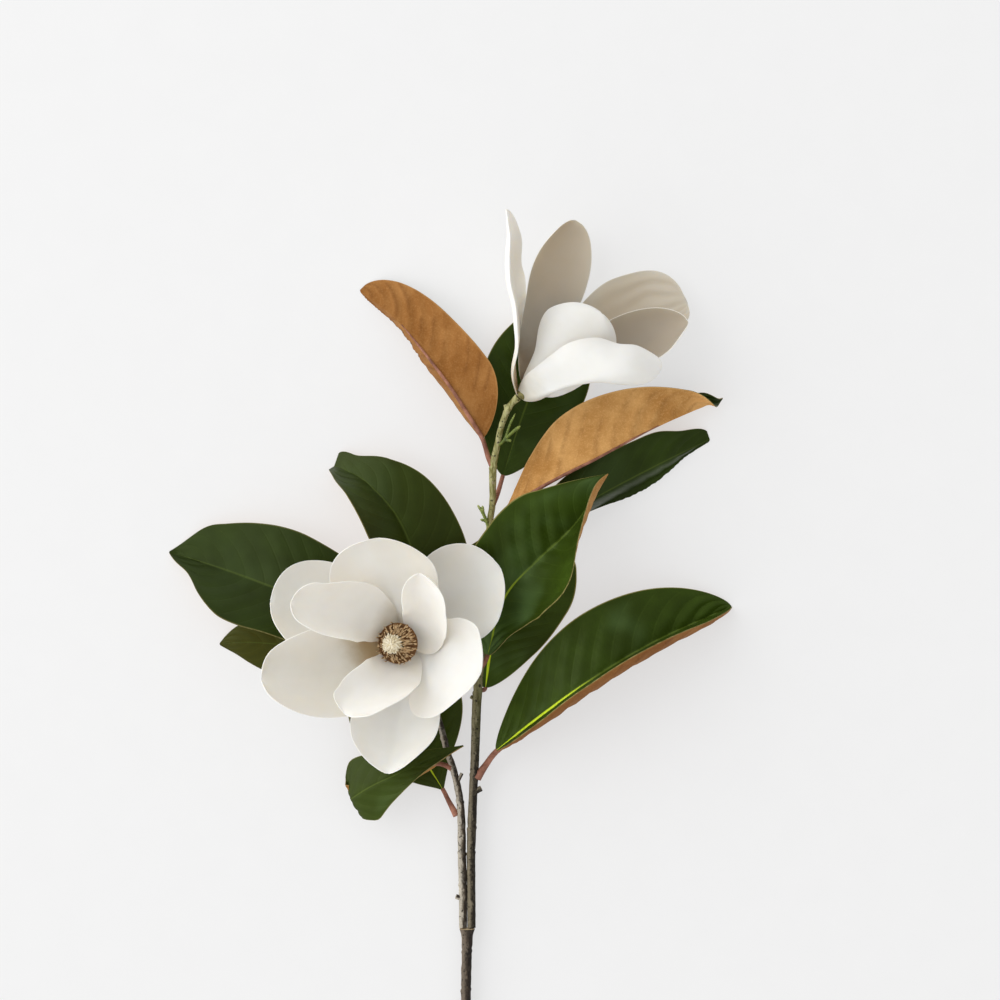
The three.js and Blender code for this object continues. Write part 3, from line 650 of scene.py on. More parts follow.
lowSprig = dict(
    name="lowSprig", node="sprig_low", skin=lowSprigGreen,
    arms=[
        [[[-6.8, -17, 23], [-10.3, -8.5, 25], [-13.9, -3, 26]], [1.2, 1, 0.9]],
        [[[-10.3, -8.5, 25], [-10.9, -3.5, 26.4]], [1, 0.8]],
        [[[-8.6, -13, 24], [-12.2, -12, 24.5]], [0.9, 0.8]],
    ],
)
highSprig = dict(
    name="highSprig", node="sprig_high", skin=highSprigGreen,
    arms=[
        [[[-1.8, 33, 31], [2.6, 37, 33.6], [6.2, 46.5, 37], [9.4, 53, 39]], [1, 0.8, 0.7, 0.6]],
        [[[2.6, 37, 33.6], [7, 36.4, 35.2]], [1, 0.9]],
        [[[2.6, 37, 33.6], [7.6, 41.5, 36], [12.4, 45.4, 37.4]], [1, 1, 1.2]],
    ],
)


def knotty(points, across, distance):
    # joints every few millimetres, as on a twig that grows in short steps
    beads = np.sin(distance * 2 * np.pi / 3.2) ** 2
    return 0.22 * beads + 0.12 * cloudiness(points * mm, 900, 2.0) - 0.1


def buildSprig(sprig):
    arms = []
    for points, radii in sprig["arms"]:
        steps = np.linspace(0, 1, 13)
        line = smoothThrough(points, steps)
        thick = smoothThrough(radii, steps)
        thick[-3:] *= np.array([0.95, 0.72, 0.25])  # drawn to a soft point
        arms.append(addTube("arm", line.tolist(), thick.tolist(), materials=[sprig["skin"]], relief=knotty,
                            **armGrid))
    piece = arms[0]
    piece.name = piece.data.name = sprig["name"]
    joinInto(piece, arms[1:])
    smoothFaces(piece, 60)
    finishPiece(piece, sprig["node"])


buildSprig(lowSprig)
buildSprig(highSprig)
print("stems and sprigs made")


def outlineShare(u, blade):
    # half width from 0 to 1 along a blade
    widest = blade["widest"]
    low = np.clip((widest - u) / widest, 0, 1)
    high = np.clip((u - widest) / (1 - widest), 0, 1)
    rising = np.maximum(1 - low ** blade["rootPower"], 0) ** blade["rootEase"]
    falling = np.maximum(1 - high ** blade["tipPower"], 0) ** blade["tipEase"]
    return np.where(u < widest, rising, falling)


def bladePlaces(blade, u, signed):
    # the middle surface of a blade: u from root to tip, signed from -1 at its left edge to 1 at its right
    place, ahead, normal = frameAt(carryFrames(blade["spine"], blade["up"]), u)
    across = np.cross(ahead, normal)
    tipShare = np.clip((u - blade["tipFrom"]) / (1 - blade["tipFrom"]), 0, 1)
    tipTurn = blade["tipTurn"] * tipShare ** 2 * (3 - 2 * tipShare)  # a twist close to the tip
    turn = np.radians(smoothThrough(blade["roll"], u) + tipTurn)[..., None]
    side = across * np.cos(turn) + normal * np.sin(turn)
    rise = normal * np.cos(turn) - across * np.sin(turn)
    width = blade["half"] * outlineShare(u, blade) + blade["claw"] * (1 - u) ** 3 + blade["point"] * u ** 8
    isLeft = signed < 0
    leftWide, rightWide = smoothThrough(blade["leftWide"], u), smoothThrough(blade["rightWide"], u)
    width = width * np.where(isLeft, leftWide, rightWide)
    off = np.abs(signed)
    ease = blade["ease"]  # rounds the fold along the middle line
    eased = (np.sqrt(off ** 2 + ease ** 2) - ease) / (math.sqrt(1 + ease ** 2) - ease)

    def halves(key):
        def valuesAt(half):
            return smoothThrough(blade[half].get(key, 0), u)
        return np.where(isLeft, valuesAt("left"), valuesAt("right"))
    fold = np.radians(halves("fold"))
    curl = np.radians(halves("curl"))
    curl = np.where(np.abs(curl) < 1e-3, 1e-3, curl)
    reach = fold + curl * off
    lateral = width * (np.sin(reach) - np.sin(fold)) / curl
    height = width * (np.cos(fold) - np.cos(fold + curl * eased)) / curl
    for edge, size, count, start in blade["waves"]:
        # a wavy margin on one side (-1 left, 1 right)
        onSide = isLeft if edge < 0 else ~isLeft
        wave = size * np.sin(2 * np.pi * (count * u + start)) * off ** 2.5 * np.sin(np.pi * u) ** 0.7
        height = height + np.where(onSide, wave, 0)
    return place + side * (np.sign(signed) * lateral)[..., None] + rise * height[..., None]


def surfaceNormals(places):
    alongWay = np.gradient(places, axis=0)
    acrossWay = np.gradient(places, axis=1)
    normals = np.cross(acrossWay, alongWay)
    size = np.linalg.norm(normals, axis=-1, keepdims=True)
    return normals / np.maximum(size, 1e-9)


def leafRelief(leaf, u, signed, places):
    # puckers between the side veins, a groove along the midrib and slow unevenness
    off = np.abs(signed)
    phase = veinPhase(u, off)
    swell = np.abs(np.sin(np.pi * phase)) ** 0.8 - 0.6
    inner = np.clip(off / 0.12, 0, 1) * (1 - np.clip((off - 0.72) / 0.26, 0, 1) ** 2)
    ends = np.clip(u / 0.08, 0, 1) * np.clip((1 - u) / 0.10, 0, 1)
    pucker = leaf["pucker"] * swell * inner * ends
    groove = -leaf["groove"] * np.exp(-(off / 0.05) ** 2) * ends
    slow = leaf["uneven"] * cloudiness(places * mm, 34, leaf["seed"]) * ends * np.clip(off / 0.2, 0, 1)
    strength = np.clip(1 + 2.5 * cloudiness(places * mm, 26, leaf["seed"] + 9), 0.2, 2.2)
    return pucker * strength + groove + slow


def buildBlade(blade, across, lengthwise, relief, materials):
    piece, order, x, y = addSheet(blade["name"], across, lengthwise)
    signed = 2 * x - 1
    u = y - blade["crowding"] * np.sin(2 * np.pi * y) / (2 * np.pi)
    places = bladePlaces(blade, u, signed)
    places = places + surfaceNormals(places) * relief(blade, u, signed, places)[..., None]
    if blade["rests"]:
        # flattened where it meets the surface that the branch lies on
        over = places[..., 2] - blade["thickness"] / 2
        places[..., 2] = blade["thickness"] / 2 + (over + np.hypot(over, 0.3)) / 2
    setMap(piece, order, x, u)
    setPlaces(piece, order, placed(places))
    setTone(piece, blade["tone"])
    for material in materials:
        piece.data.materials.append(material)
    body = piece.vertex_groups.new(name="body")
    thick = (1 - np.abs(signed) ** 6) * np.clip(u / 0.02, 0.4, 1) * np.clip((1 - u) / 0.03, 0, 1)
    flat = np.empty(len(order))
    flat[order] = thick.ravel()
    for i, weight in enumerate(flat):
        body.add([i], float(weight), "REPLACE")
    selectOnly(piece)
    bpy.ops.object.modifier_add(type="SOLIDIFY")
    wall = piece.modifiers[-1]
    wall.thickness = blade["thickness"] * mm
    wall.offset = 0
    wall.vertex_group = "body"
    wall.thickness_vertex_group = blade["thinEdge"]
    wall.material_offset = 1
    wall.material_offset_rim = len(materials) - 1
    bpy.ops.object.modifier_apply(modifier=wall.name)
    bpy.ops.object.vertex_group_remove(all=True)
    return piece


leafDefaults = dict(
    up=[0, 0, 1], rootPower=1.8, rootEase=0.8, tipPower=2, tipEase=0.9, claw=1.5, point=0.6, thickness=0.8,
    rests=True, ribLength=0.7, crowding=0.6, thinEdge=0.55, pucker=0.35, groove=0.35,
    uneven=0.7, waves=[], leftWide=1, rightWide=1, ease=0.05, tipFrom=0.9, tipTurn=0,
    stalkRadius=1.7,
)
ribEndRadius = 0.5
leafGrid, tepalGrid = (36, 92), (40, 64)  # faces across and along
stalkGrid = dict(around=12, step=1.6)

# tone: share of olive tint; painted light and shade with painted sheen on the top; the yellow midrib stripe
# on the top together with painted shade on the underside
leaves = [
    dict(
        name="leafLeft", node="leaf_left",
        stalk=[[-53, -100, 24.5], [-57, -96.5, 22]],
        spine=[[-63, -92, 20], [-96, -70.5, 21.5], [-134, -56.5, 19], [-169, -44, 10], [-206.5, -32.5, -1]],
        half=36, widest=0.56, tipEase=1, roll=-8,
        left=dict(fold=[10, 22, 42]), right=dict(fold=[5, 10, 14]),
        leftWide=[1, 1, 1, 1, 0.92, 0.88, 0.95, 1.02, 0.96, 0.72, 1],
        rightWide=[1, 1, 1.05, 1.06, 1.06, 1.06, 1.04, 1.04, 1.1, 1.28, 1],
        tone=[0.05, 0, 0], seed=21, pucker=0.25,
    ),
    dict(
        name="leafLeftHigh", node="leaf_left_high",
        stalk=[[-43.3, -120.5, 21.5], [-44, -110, 21]],
        spine=[
            [-46, -96, 21], [-48, -55, 21], [-61, -15, 21], [-81, 9.5, 17], [-96, 18.5, 8], [-103.5, 21, 2],
        ],
        half=32, point=9.5, widest=0.48, tipEase=0.8, roll=[-10, -17, -9],
        left=dict(fold=[10, 34, 30]), right=dict(fold=[9, 14, 20]),
        leftWide=[1, 1, 1, 1, 0.98, 1.02, 1.06, 1, 0.9, 0.8, 0.5],
        rightWide=[1, 1, 1.08, 1.08, 1.06, 1.02, 1, 0.98, 0.88, 0.66, 0.9],
        tone=[0.15, 0.1, 0], seed=22, pucker=0.25,
    ),
    dict(
        name="leafLeftLow", node="leaf_left_low",
        stalk=[[-46, -115, 22.3], [-54, -111, 18]],
        spine=[[-63, -106, 14.5], [-93, -96, 12], [-131, -90.5, 9], [-159, -88.5, 5.5], [-175, -90, 0]],
        half=24, widest=0.5, tipEase=0.95, roll=[0, 5, 10],
        left=dict(fold=[-4, -10, -16]), right=dict(fold=-5),
        tone=[0.75, 0.02, 0.2], seed=23,
    ),
    dict(
        name="leafLowestBent", node="leaf_lowest_bent",
        stalk=[[-30, -166, 16], [-34, -164.5, 15]],
        spine=[
            [-39, -163.5, 13.5], [-56, -168, 11], [-77, -177, 11.5], [-92.5, -185.5, 18], [-80, -177, 25],
            [-60, -167.5, 28.5], [-22.5, -151.5, 28],
        ],
        half=20.5, widest=0.45, tipPower=1.3, tipEase=1.15, roll=[180, 177, 170, 175], ribLength=0.3,
        left=dict(fold=[4, -12, 4]), right=dict(fold=[4, -12, 4], curl=[0, 0, 20, 110]),
        leftWide=[
            0.6, 0.55, 0.5, 0.45, 0.4, 0.36, 0.34, 0.34, 0.4, 0.74, 1.1, 1.18, 1.14, 1.1, 1.06, 1.04, 1.02,
            1.04, 1.1, 1.1, 1,
        ],
        rightWide=[
            0.55, 0.55, 0.55, 0.52, 0.5, 0.5, 0.5, 0.5, 0.54, 0.78, 1.02, 1.01, 0.95, 0.9, 0.85, 0.82, 0.8,
            0.85, 0.95, 1, 1,
        ],
        tone=[0.1, 0.3, 0.2], seed=24,
    ),
    dict(
        name="leafUnderFlower", node="leaf_under_flower",
        stalk=[[-27, -196, 11.5], [-32, -187, 9]],
        spine=[[-36, -179.5, 7], [-47.5, -160, 5], [-59, -130, 4.5], [-68, -98, 4], [-75.5, -63.5, 4]],
        half=35.5, widest=0.43, rootEase=1.1, roll=[0, -4, 0],
        left=dict(fold=[0, 2, 0]), right=dict(fold=[0, 6, 6]),
        tone=[0.1, 0.35, 1], seed=25,
    ),
    dict(
        name="leafRight", node="leaf_right",
        stalk=[[-14.4, -172.4, 13], [-9, -164.6, 14.6]], stalkRadius=2.3,
        spine=[[-2, -155, 17], [23, -135, 24], [53.5, -112.5, 27], [95, -88, 20], [144.5, -66.5, -1]],
        half=37, widest=0.51, tipEase=0.75, roll=[18, 9, -2],
        left=dict(fold=[-13, 2, 17]), right=dict(fold=[29, 46, 50], curl=[74, 72, 66]),
        tone=[0, 0.75, 1], seed=26, pucker=0.8,
    ),
    dict(
        name="leafRightLow", node="leaf_right_low",
        stalk=[[-14, -119, 16], [-12, -118, 14]],
        spine=[[-9, -116.5, 9], [-5, -89, 4.5], [4, -60, 3.5], [13, -37, 3.5], [19, -16, 3]],
        half=38, widest=0.55, tipEase=0.6, roll=0,
        left=dict(fold=3), right=dict(fold=[3, -3, -8]),
        rightWide=[1, 1, 0.98, 0.96, 0.96, 0.98, 1.04, 1.12, 1.2, 1.3, 1],
        tone=[0, 0.8, 1], seed=27,
    ),
    dict(
        name="leafRightFront", node="leaf_right_front",
        stalk=[[-12.5, -104, 17.5], [-10, -101, 20]],
        spine=[[-7.5, -95.5, 23.5], [3, -60, 29], [23, -37, 33.5], [46, -15, 35], [66.5, 16, 31]],
        half=40, widest=0.56, tipEase=1.1, roll=[4, 1, 25],
        left=dict(fold=[9, 18, 32]), right=dict(fold=[30, 40, 70], curl=[26, 39, 60]),
        rightWide=[0.8, 0.8, 1.05, 1.1, 1.06, 1.12, 1.15, 0.85, 0.7, 0.8, 1],
        tone=[0, 0.65, 0.35], seed=28, pucker=0.9,
    ),
    dict(
        name="leafRightBack", node="leaf_right_back",
        stalk=[[-8.4, -50, 20.3], [-6, -44, 18]],
        spine=[[-3, -36, 16], [28, -17, 15.5], [62, 3, 14.2], [96, 21, 11.4], [131, 38, -1]],
        half=23, point=5, widest=0.57, tipEase=0.75, roll=[-17, -12, -8],
        left=dict(fold=11), right=dict(fold=[-12, -48, -54], curl=[-5, -28, -25]),
        leftWide=[1, 1, 1, 1, 1.06, 1.02, 0.96, 0.98, 1.04, 0.92, 1.1],
        rightWide=[1, 0.66, 0.62, 0.64, 0.74, 1.16, 1.8, 2.1, 1.9, 0.9, 0.8],
        tone=[0, 0.15, 0.2], seed=29,
    ),
    dict(
        name="leafRightTurned", node="leaf_right_turned",
        stalk=[[-6.8, -21, 22], [-2, -15, 23.5]],
        spine=[
            [2.5, -8.5, 26], [26.5, 8, 29.5], [59, 25, 27.5], [93, 43.5, 23], [118, 55, 15], [138.5, 63.5, 5],
        ],
        half=36, widest=0.4, rootEase=1, tipEase=1.1, roll=[205, 186, 168],
        left=dict(fold=115), right=dict(fold=[26, 6, -13], curl=[20, -3, -25]),
        tone=[0, 0.1, 0], seed=30, pucker=1.5, uneven=1.1, tipFrom=0.86, tipTurn=-150,
    ),
    dict(
        name="leafTopTurned", node="leaf_top_turned",
        stalk=[[-4.2, 20.3, 28], [-7.5, 27, 27.5]],
        spine=[[-11, 38, 26], [-27.5, 65, 25], [-46, 90, 20], [-65.5, 113.5, 11], [-87.5, 131, -1]],
        half=28.5, widest=0.3, tipEase=0.45, roll=[181, 182, 185],
        left=dict(fold=4, curl=-11), right=dict(fold=71, curl=22),
        tone=[0, 0.1, 0.8], seed=31, pucker=0.9, uneven=1.0, waves=[[-1, 1.0, 4, 0.2]],
    ),
    dict(
        name="leafTopBack", node="leaf_top_back",
        stalk=[[-4.7, -2.5, 24], [-1.5, 4, 19]],
        spine=[[2, 15.5, 13.5], [10.5, 42.5, 8], [21.5, 73, 5.5], [33, 103, 4.5], [42, 128.5, 4.5]],
        half=33, widest=0.54, roll=[-4, -2, -5],
        left=dict(fold=7), right=dict(fold=[8, 0, 0]),
        tone=[0, 0.3, 0], seed=32, pucker=0.3,
    ),
]


def stalkRadii(leaf, shares):
    return leaf["stalkRadius"] + (ribEndRadius - leaf["stalkRadius"]) * shares


def stalkPoints(leaf):
    # the stalk, going on under the blade as its raised midrib
    shares = np.array([0, 0.2, 0.4, 0.6, 0.8, 1])
    u = shares * leaf["ribLength"]
    place, ahead, normal = frameAt(carryFrames(leaf["spine"], leaf["up"]), u)
    turn = np.radians(smoothThrough(leaf["roll"], u))[..., None]
    rise = normal * np.cos(turn) - np.cross(ahead, normal) * np.sin(turn)
    radius = stalkRadii(leaf, shares)
    rib = place - rise * ((radius + 0.15) * [0.6, 1, 1, 1, 1, 1])[:, None]
    rib[:, 2] = np.maximum(rib[:, 2], radius + 0.1)
    return np.vstack([leaf["stalk"], rib])


def stalkRelief(points, across, distance):
    return 0.08 * cloudiness(points * mm, 500, 3.0)


for given in leaves:
    leaf = {**leafDefaults, **given}
    piece = buildBlade(leaf, *leafGrid, leafRelief, [leafTop, leafUnder, leafEdge])
    line = stalkPoints(leaf)
    radii = stalkRadii(leaf, np.arange(len(line)) / (len(line) - 1))
    radii[0] *= 1.3  # swollen where it leaves the shoot
    radii[-1] *= 0.5
    stalk = addTube("stalk", line.tolist(), radii.tolist(), materials=[petioleSkin], relief=stalkRelief,
                    **stalkGrid)
    setTone(stalk, leaf["tone"])
    joinInto(piece, [stalk])
    smoothFaces(piece, 55)
    finishPiece(piece, leaf["node"])
print("leaves made:", len(leaves))

openFlower = dict(
    foot=np.array([-58.7, -87.9, 33]), axis=unit(np.array([-0.29, 0, 0.957])), girth=1.0, spread=1.0,
    stamens=270, carpels=86, seed=11, knotShift=[-1.5, 0.2, 0], ringShift=[0.9, 0.5, 0],
)
cupFlower = dict(
    foot=np.array([11.6, 63.4, 40]), axis=unit(np.array([0.65, 0.69, 0.31])), girth=0.75, spread=0.55,
    stamens=90, carpels=30, seed=23, knotShift=[0, 0, 0], ringShift=[0, 0, 0],
)

tepalDefaults = dict(
    up=[0, 0, 1], rootPower=1.6, rootEase=0.7, tipPower=2.2, tipEase=0.5, claw=3, point=1.5, thickness=1.0,
    rests=False, crowding=0.6, thinEdge=0.45, billow=1.3, crease=0.0, waves=[],
    wrinkles=0.0, leftWide=1, rightWide=1, ease=0.35, tipFrom=0.9, tipTurn=0,
)

# tone, for the petals of both flowers: share of the tan root, share of painted shade, and how far the tan
# root reaches
openTepals = [
    dict(
        name="openTepalOuterLeft", node="open_tepal_outer_left",
        height=0.8,
        spine=[[-82, -78.5, 34.5], [-102, -71.5, 37.5], [-122, -65, 42.5], [-140, -62, 50]],
        half=31.5, widest=0.6, roll=[2, -4, -9],
        left=dict(fold=[0, 4, 7], curl=[0, 20, 24]), right=dict(fold=[0, 3, -2], curl=[0, 19, 12]),
        tone=[0.3, 0.18, 0], seed=8,
    ),
    dict(
        name="openTepalOuterRight", node="open_tepal_outer_right",
        height=1.6,
        spine=[[-41.5, -73, 34.5], [-26, -60, 38], [-12.5, -50, 43], [0, -41, 50]],
        half=32, widest=0.61, roll=[-1, 4, 8],
        left=dict(fold=[0, 5, 2], curl=[0, 20, 17]), right=dict(fold=[0, 8, 10], curl=[0, 25, 27]),
        tone=[0.3, 0.08, 0], crease=0.5, seed=9,
    ),
    dict(
        name="openTepalOuterLow", node="open_tepal_outer_low",
        height=2.6,
        spine=[[-61, -112, 34], [-62.5, -131, 36.5], [-65.5, -149.5, 41], [-68.5, -167, 47]],
        half=28, widest=0.59, tipEase=0.75, roll=[0, 1, -9],
        left=dict(fold=[0, 8, 16], curl=[0, 24, 34]), right=dict(fold=[0, 6, 6], curl=[0, 24, 24]),
        rightWide=[1, 1, 1, 1.05, 1.08, 1.06],
        tone=[0.3, 0.03, 0], crease=0.7, seed=4,
    ),
    dict(
        name="openTepalMiddleTop", node="open_tepal_middle_top",
        height=3.2,
        spine=[[-64.5, -68.5, 41], [-68.5, -51.5, 50.5], [-72.5, -36, 60], [-74, -23, 68]],
        half=35, widest=0.63, roll=[2, 5, 6],
        left=dict(fold=[0, 1, -1], curl=[0, 10, 16]), right=dict(fold=[0, 7, 4], curl=[0, 30, 27]),
        leftWide=0.96,
        tone=[0.4, 0.12, 0], seed=5,
    ),
    dict(
        name="openTepalMiddleLeft", node="open_tepal_middle_left",
        height=5.2,
        spine=[[-83.5, -98.5, 41], [-104.5, -104, 48], [-125.5, -107, 57], [-144.5, -109, 66]],
        half=31, widest=0.45, tipEase=0.4, roll=[5, 9, 2],
        left=dict(fold=[0, 9, 14], curl=[5, 30, 41]), right=dict(fold=[0, 6, 10], curl=[0, 26, 30]),
        tone=[1, 0.2, 1], crease=0.4, seed=6,
    ),
    dict(
        name="openTepalMiddleRight", node="open_tepal_middle_right",
        height=5.6,
        spine=[[-44.5, -94, 39.7], [-32.5, -98.5, 49], [-21, -101.5, 58.5], [-11.5, -104.5, 66]],
        half=38, widest=0.51, tipEase=0.45, roll=[-8, -5, 2],
        left=dict(fold=[0, 7, 6], curl=[0, 33, 30]), right=dict(fold=[2, 6, 6], curl=[5, 24, 24]),
        leftWide=[1, 1.04, 0.86, 0.76, 0.72, 0.74, 0.78, 0.86, 0.94, 1.04, 1],
        rightWide=[1, 1, 1, 1, 1, 0.94],
        tone=[0.3, 0, 0], seed=7,
    ),
    dict(
        name="openTepalInnerLeft", node="open_tepal_inner_left",
        height=8.2,
        spine=[[-70, -82, 40.7], [-78, -77, 46], [-93.5, -69.5, 60], [-110, -65, 69], [-126, -62, 76]],
        half=24, widest=0.5, tipEase=0.45, roll=[-10, -13, -10],
        left=dict(fold=[0, 4, 20, 17, 14], curl=[5, 20, 56, 52, 48]),
        right=dict(fold=[4, 9, 9, 7, 7], curl=[10, 25, 38, 38, 38]),
        leftWide=[1, 0.5, 0.54, 0.56, 0.68, 0.88, 0.96, 0.94, 0.96, 0.94, 1],
        rightWide=[1, 1.06, 1.04, 1, 1.02, 1.02, 1, 0.92, 0.88, 1, 1],
        tone=[0.45, 0.05, 0.1], seed=1,
    ),
    dict(
        name="openTepalInnerRight", node="open_tepal_inner_right",
        height=9,
        spine=[[-53, -79, 42.5], [-49, -72, 48], [-47, -64, 59.5], [-47, -54, 70], [-48, -44, 79]],
        half=22, widest=0.5, tipEase=0.5, roll=[0, -6, -10],
        left=dict(fold=[0, 6, 15, 16, 17], curl=[5, 20, 46, 47, 48]),
        right=dict(fold=[0, 6, 12, 10, 9], curl=[5, 20, 36, 36, 36]),
        leftWide=[0.7, 0.5, 0.56, 0.56, 0.56, 0.6, 0.64, 0.7, 0.76, 0.86, 1],
        rightWide=[1.8, 1.58, 1.28, 1.08, 1.04, 1.04, 1.04, 1.02, 1.1, 1.2, 1.1],
        tone=[0.15, 0, 0], seed=2,
    ),
    dict(
        name="openTepalInnerLow", node="open_tepal_inner_low",
        height=7.8,
        spine=[[-62, -98, 41.4], [-66, -104.5, 47], [-72.5, -113, 59], [-82.5, -121, 67], [-93.5, -129, 74]],
        half=21, widest=0.6, tipEase=0.35, roll=[5, 3, -6],
        left=dict(fold=[0, 3, 8, 9, 10], curl=[5, 15, 36, 40, 43]),
        right=dict(fold=[0, 2, 11, 8, 4], curl=[5, 15, 48, 42, 37]),
        leftWide=[1.45, 1.38, 1.28, 1.14, 1.04, 1, 0.94, 0.92, 0.98, 1.06, 1],
        rightWide=[1, 1.1, 0.9, 0.9, 0.9, 0.94, 0.92, 0.92, 0.92, 0.94, 1.2],
        tone=[0.2, 0, 0], crease=0.35, seed=3,
    ),
]

cupTepals = [
    dict(
        name="cupTepalOuterLeft", node="cup_tepal_outer_left",
        height=1.2, up=[1, 0, 0.1],
        spine=[
            [8.4, 81, 50], [11, 96, 55.5], [10.2, 108.5, 58.3], [9.2, 121, 60.5], [6.2, 134, 62.3],
            [5.4, 147, 63.8], [6.4, 159, 65], [5.4, 168.5, 65.6], [3.9, 176, 66],
        ],
        half=26.5, widest=0.5, rootEase=1, tipEase=0.7, roll=[8, 2, 5],
        left=dict(fold=[0, -6, -6], curl=[20, 27, 27]), right=dict(fold=[-12, -10, -6], curl=[0, 22, 30]),
        rightWide=[1, 1.4, 1.9, 2.3, 2.3, 1.84, 2.02, 1.58, 1.48, 1.22, 1.2],
        tone=[0.5, 0.1, 0.3], seed=10,
    ),
    dict(
        name="cupTepalOuterFar", node="cup_tepal_outer_far",
        height=1.2, up=[-0.1, 0, 1],
        spine=[[28, 69, 26.2], [48, 84, 15.1], [70, 100, 11.1], [94, 113.5, 10], [116.5, 122.5, 12]],
        half=31, rootEase=0.9, widest=0.63, tipEase=0.4, roll=[-4, 0, 8],
        left=dict(fold=[0, -3, -2], curl=[5, 14, 14]), right=dict(fold=[0, 14, 18], curl=[5, 24, 30]),
        leftWide=[1, 0.86, 0.84, 0.82, 0.86, 0.92, 1, 1.06, 1.06, 1.08, 1.1],
        rightWide=[1, 0.45, 0.35, 0.36, 0.48, 0.64, 0.76, 0.84, 0.84, 0.82, 0.8],
        tone=[0.5, 0.6, 0.3], wrinkles=0.5, seed=11,
    ),
    dict(
        name="cupTepalOuterNear", node="cup_tepal_outer_near",
        height=1.2, up=[0.1, 0.3, -1],
        spine=[[28, 66, 59], [53, 74.5, 71.5], [76, 80, 75.5], [98, 82, 68]],
        half=21, widest=0.63, roll=[-3, 1, 14],
        left=dict(fold=[5, 14, 20, 20, 16, 14, 13], curl=[20, 60, 90, 95, 60, 45, 42]),
        right=dict(fold=[-12, 0, 20], curl=[0, 22, 50]),
        leftWide=[0.8, 0.62, 0.45, 0.4, 0.6, 0.7, 0.75, 0.9, 1],
        rightWide=[1, 1.12, 1.12, 1.1, 1.14, 1.02, 0.74, 0.86, 1],
        tone=[0.3, 0, 0], seed=12, waves=[[1, 1.6, 3, 0.1], [-1, 1.2, 3, 0.6]],
    ),
    dict(
        name="cupTepalInnerFar", node="cup_tepal_inner_far",
        height=6.4, up=[0.1, -0.2, 1],
        spine=[[16.2, 82, 31], [21.5, 105, 24], [30, 130, 18.5], [38.5, 153, 17], [47, 173, 19]],
        half=22.5, widest=0.62, rootEase=0.85, claw=1.5, tipEase=0.6, roll=[-4, -6, -9],
        left=dict(fold=[-12, -2, 13], curl=[0, 20, 37]), right=dict(fold=[-4, 7, 7], curl=[5, 28, 28]),
        leftWide=[0.55, 0.5, 0.5, 0.5, 0.52, 0.57, 0.67, 0.75, 0.78, 0.77, 0.8],
        tone=[0.6, 0.72, 0.4], seed=13,
    ),
    dict(
        name="cupTepalInnerRight", node="cup_tepal_inner_right",
        height=3.2, up=[-0.1, 0.3, 1],
        spine=[[30.5, 68, 35.6], [52, 79, 32.5], [75, 90, 31.5], [96, 100, 33], [115.5, 109, 37]],
        half=22, widest=0.61, tipEase=0.6, rootEase=0.9, claw=2, roll=[-3, 1, 7],
        left=dict(fold=[12, 10, 8], curl=[14, 30, 30]), right=dict(fold=[0, 16, 24], curl=[10, 36, 44]),
        rightWide=[0.5, 0.3, 0.27, 0.35, 0.5, 0.7, 0.92, 1.14, 1.34, 1.48, 1],
        tone=[0.5, 0.78, 0.3], seed=14,
    ),
    dict(
        name="cupTepalInnerNear", node="cup_tepal_inner_near",
        height=6, up=[0.2, 0.2, -1],
        spine=[[19, 72, 54.2], [32.6, 82.8, 61], [47, 96.6, 66.5], [61.5, 112.6, 70]],
        half=26.5, widest=0.64, tipEase=0.6, roll=[3, -1, -6],
        left=dict(fold=[0, 7, 7], curl=[10, 33, 33]), right=dict(fold=[0, 6, 0], curl=[10, 33, 26]),
        leftWide=[1, 1, 1, 1, 1.08, 1.2],
        rightWide=[0.3, 0.42, 0.62, 0.92, 1.02, 1, 1],
        tone=[0.3, 0, 0], seed=15,
    ),
]


def tepalRelief(tepal, u, signed, places):
    # slow billows, a shallow crease along the middle, and fine creases towards the tip where there are any
    off = np.abs(signed)
    ends = np.clip((u - 0.12) / 0.2, 0, 1) * np.clip((1 - u) / 0.06, 0, 1)
    billow = tepal["billow"] * cloudiness(places * mm, 38, tepal["seed"]) * ends
    crease = -tepal["crease"] * np.exp(-(signed / 0.15) ** 2) * np.clip(u / 0.3, 0, 1) * (1 - u ** 3)
    rays = np.sin(signed * 21 + 2.2 * cloudiness(places * mm, 60, tepal["seed"] + 2))
    fine = tepal["wrinkles"] * rays * np.clip((u - 0.5) / 0.3, 0, 1) * np.clip((1 - u) / 0.08, 0, 1)
    return billow + crease + fine


rootDepth = 3  # how far from the flower's axis a petal starts


def tepalRoot(flower, height, following):
    # a petal's root sits inside the receptacle, on the side that the petal leaves from
    onAxis = flower["foot"] + flower["axis"] * height
    outward = np.array(following) - onAxis
    outward = unit(outward - flower["axis"] * outward.dot(flower["axis"]))
    return (onAxis + outward * rootDepth * flower["girth"]).tolist()


def buildTepals(flower, tepals):
    for given in tepals:
        tepal = {**tepalDefaults, **given}
        tepal["spine"] = [tepalRoot(flower, tepal["height"], given["spine"][0])] + given["spine"]
        piece = buildBlade(tepal, *tepalGrid, tepalRelief, [tepalInside, tepalOutside])
        smoothFaces(piece, 55)
        finishPiece(piece, tepal["node"])


buildTepals(openFlower, openTepals)
buildTepals(cupFlower, cupTepals)
print("petals made:", len(openTepals) + len(cupTepals))


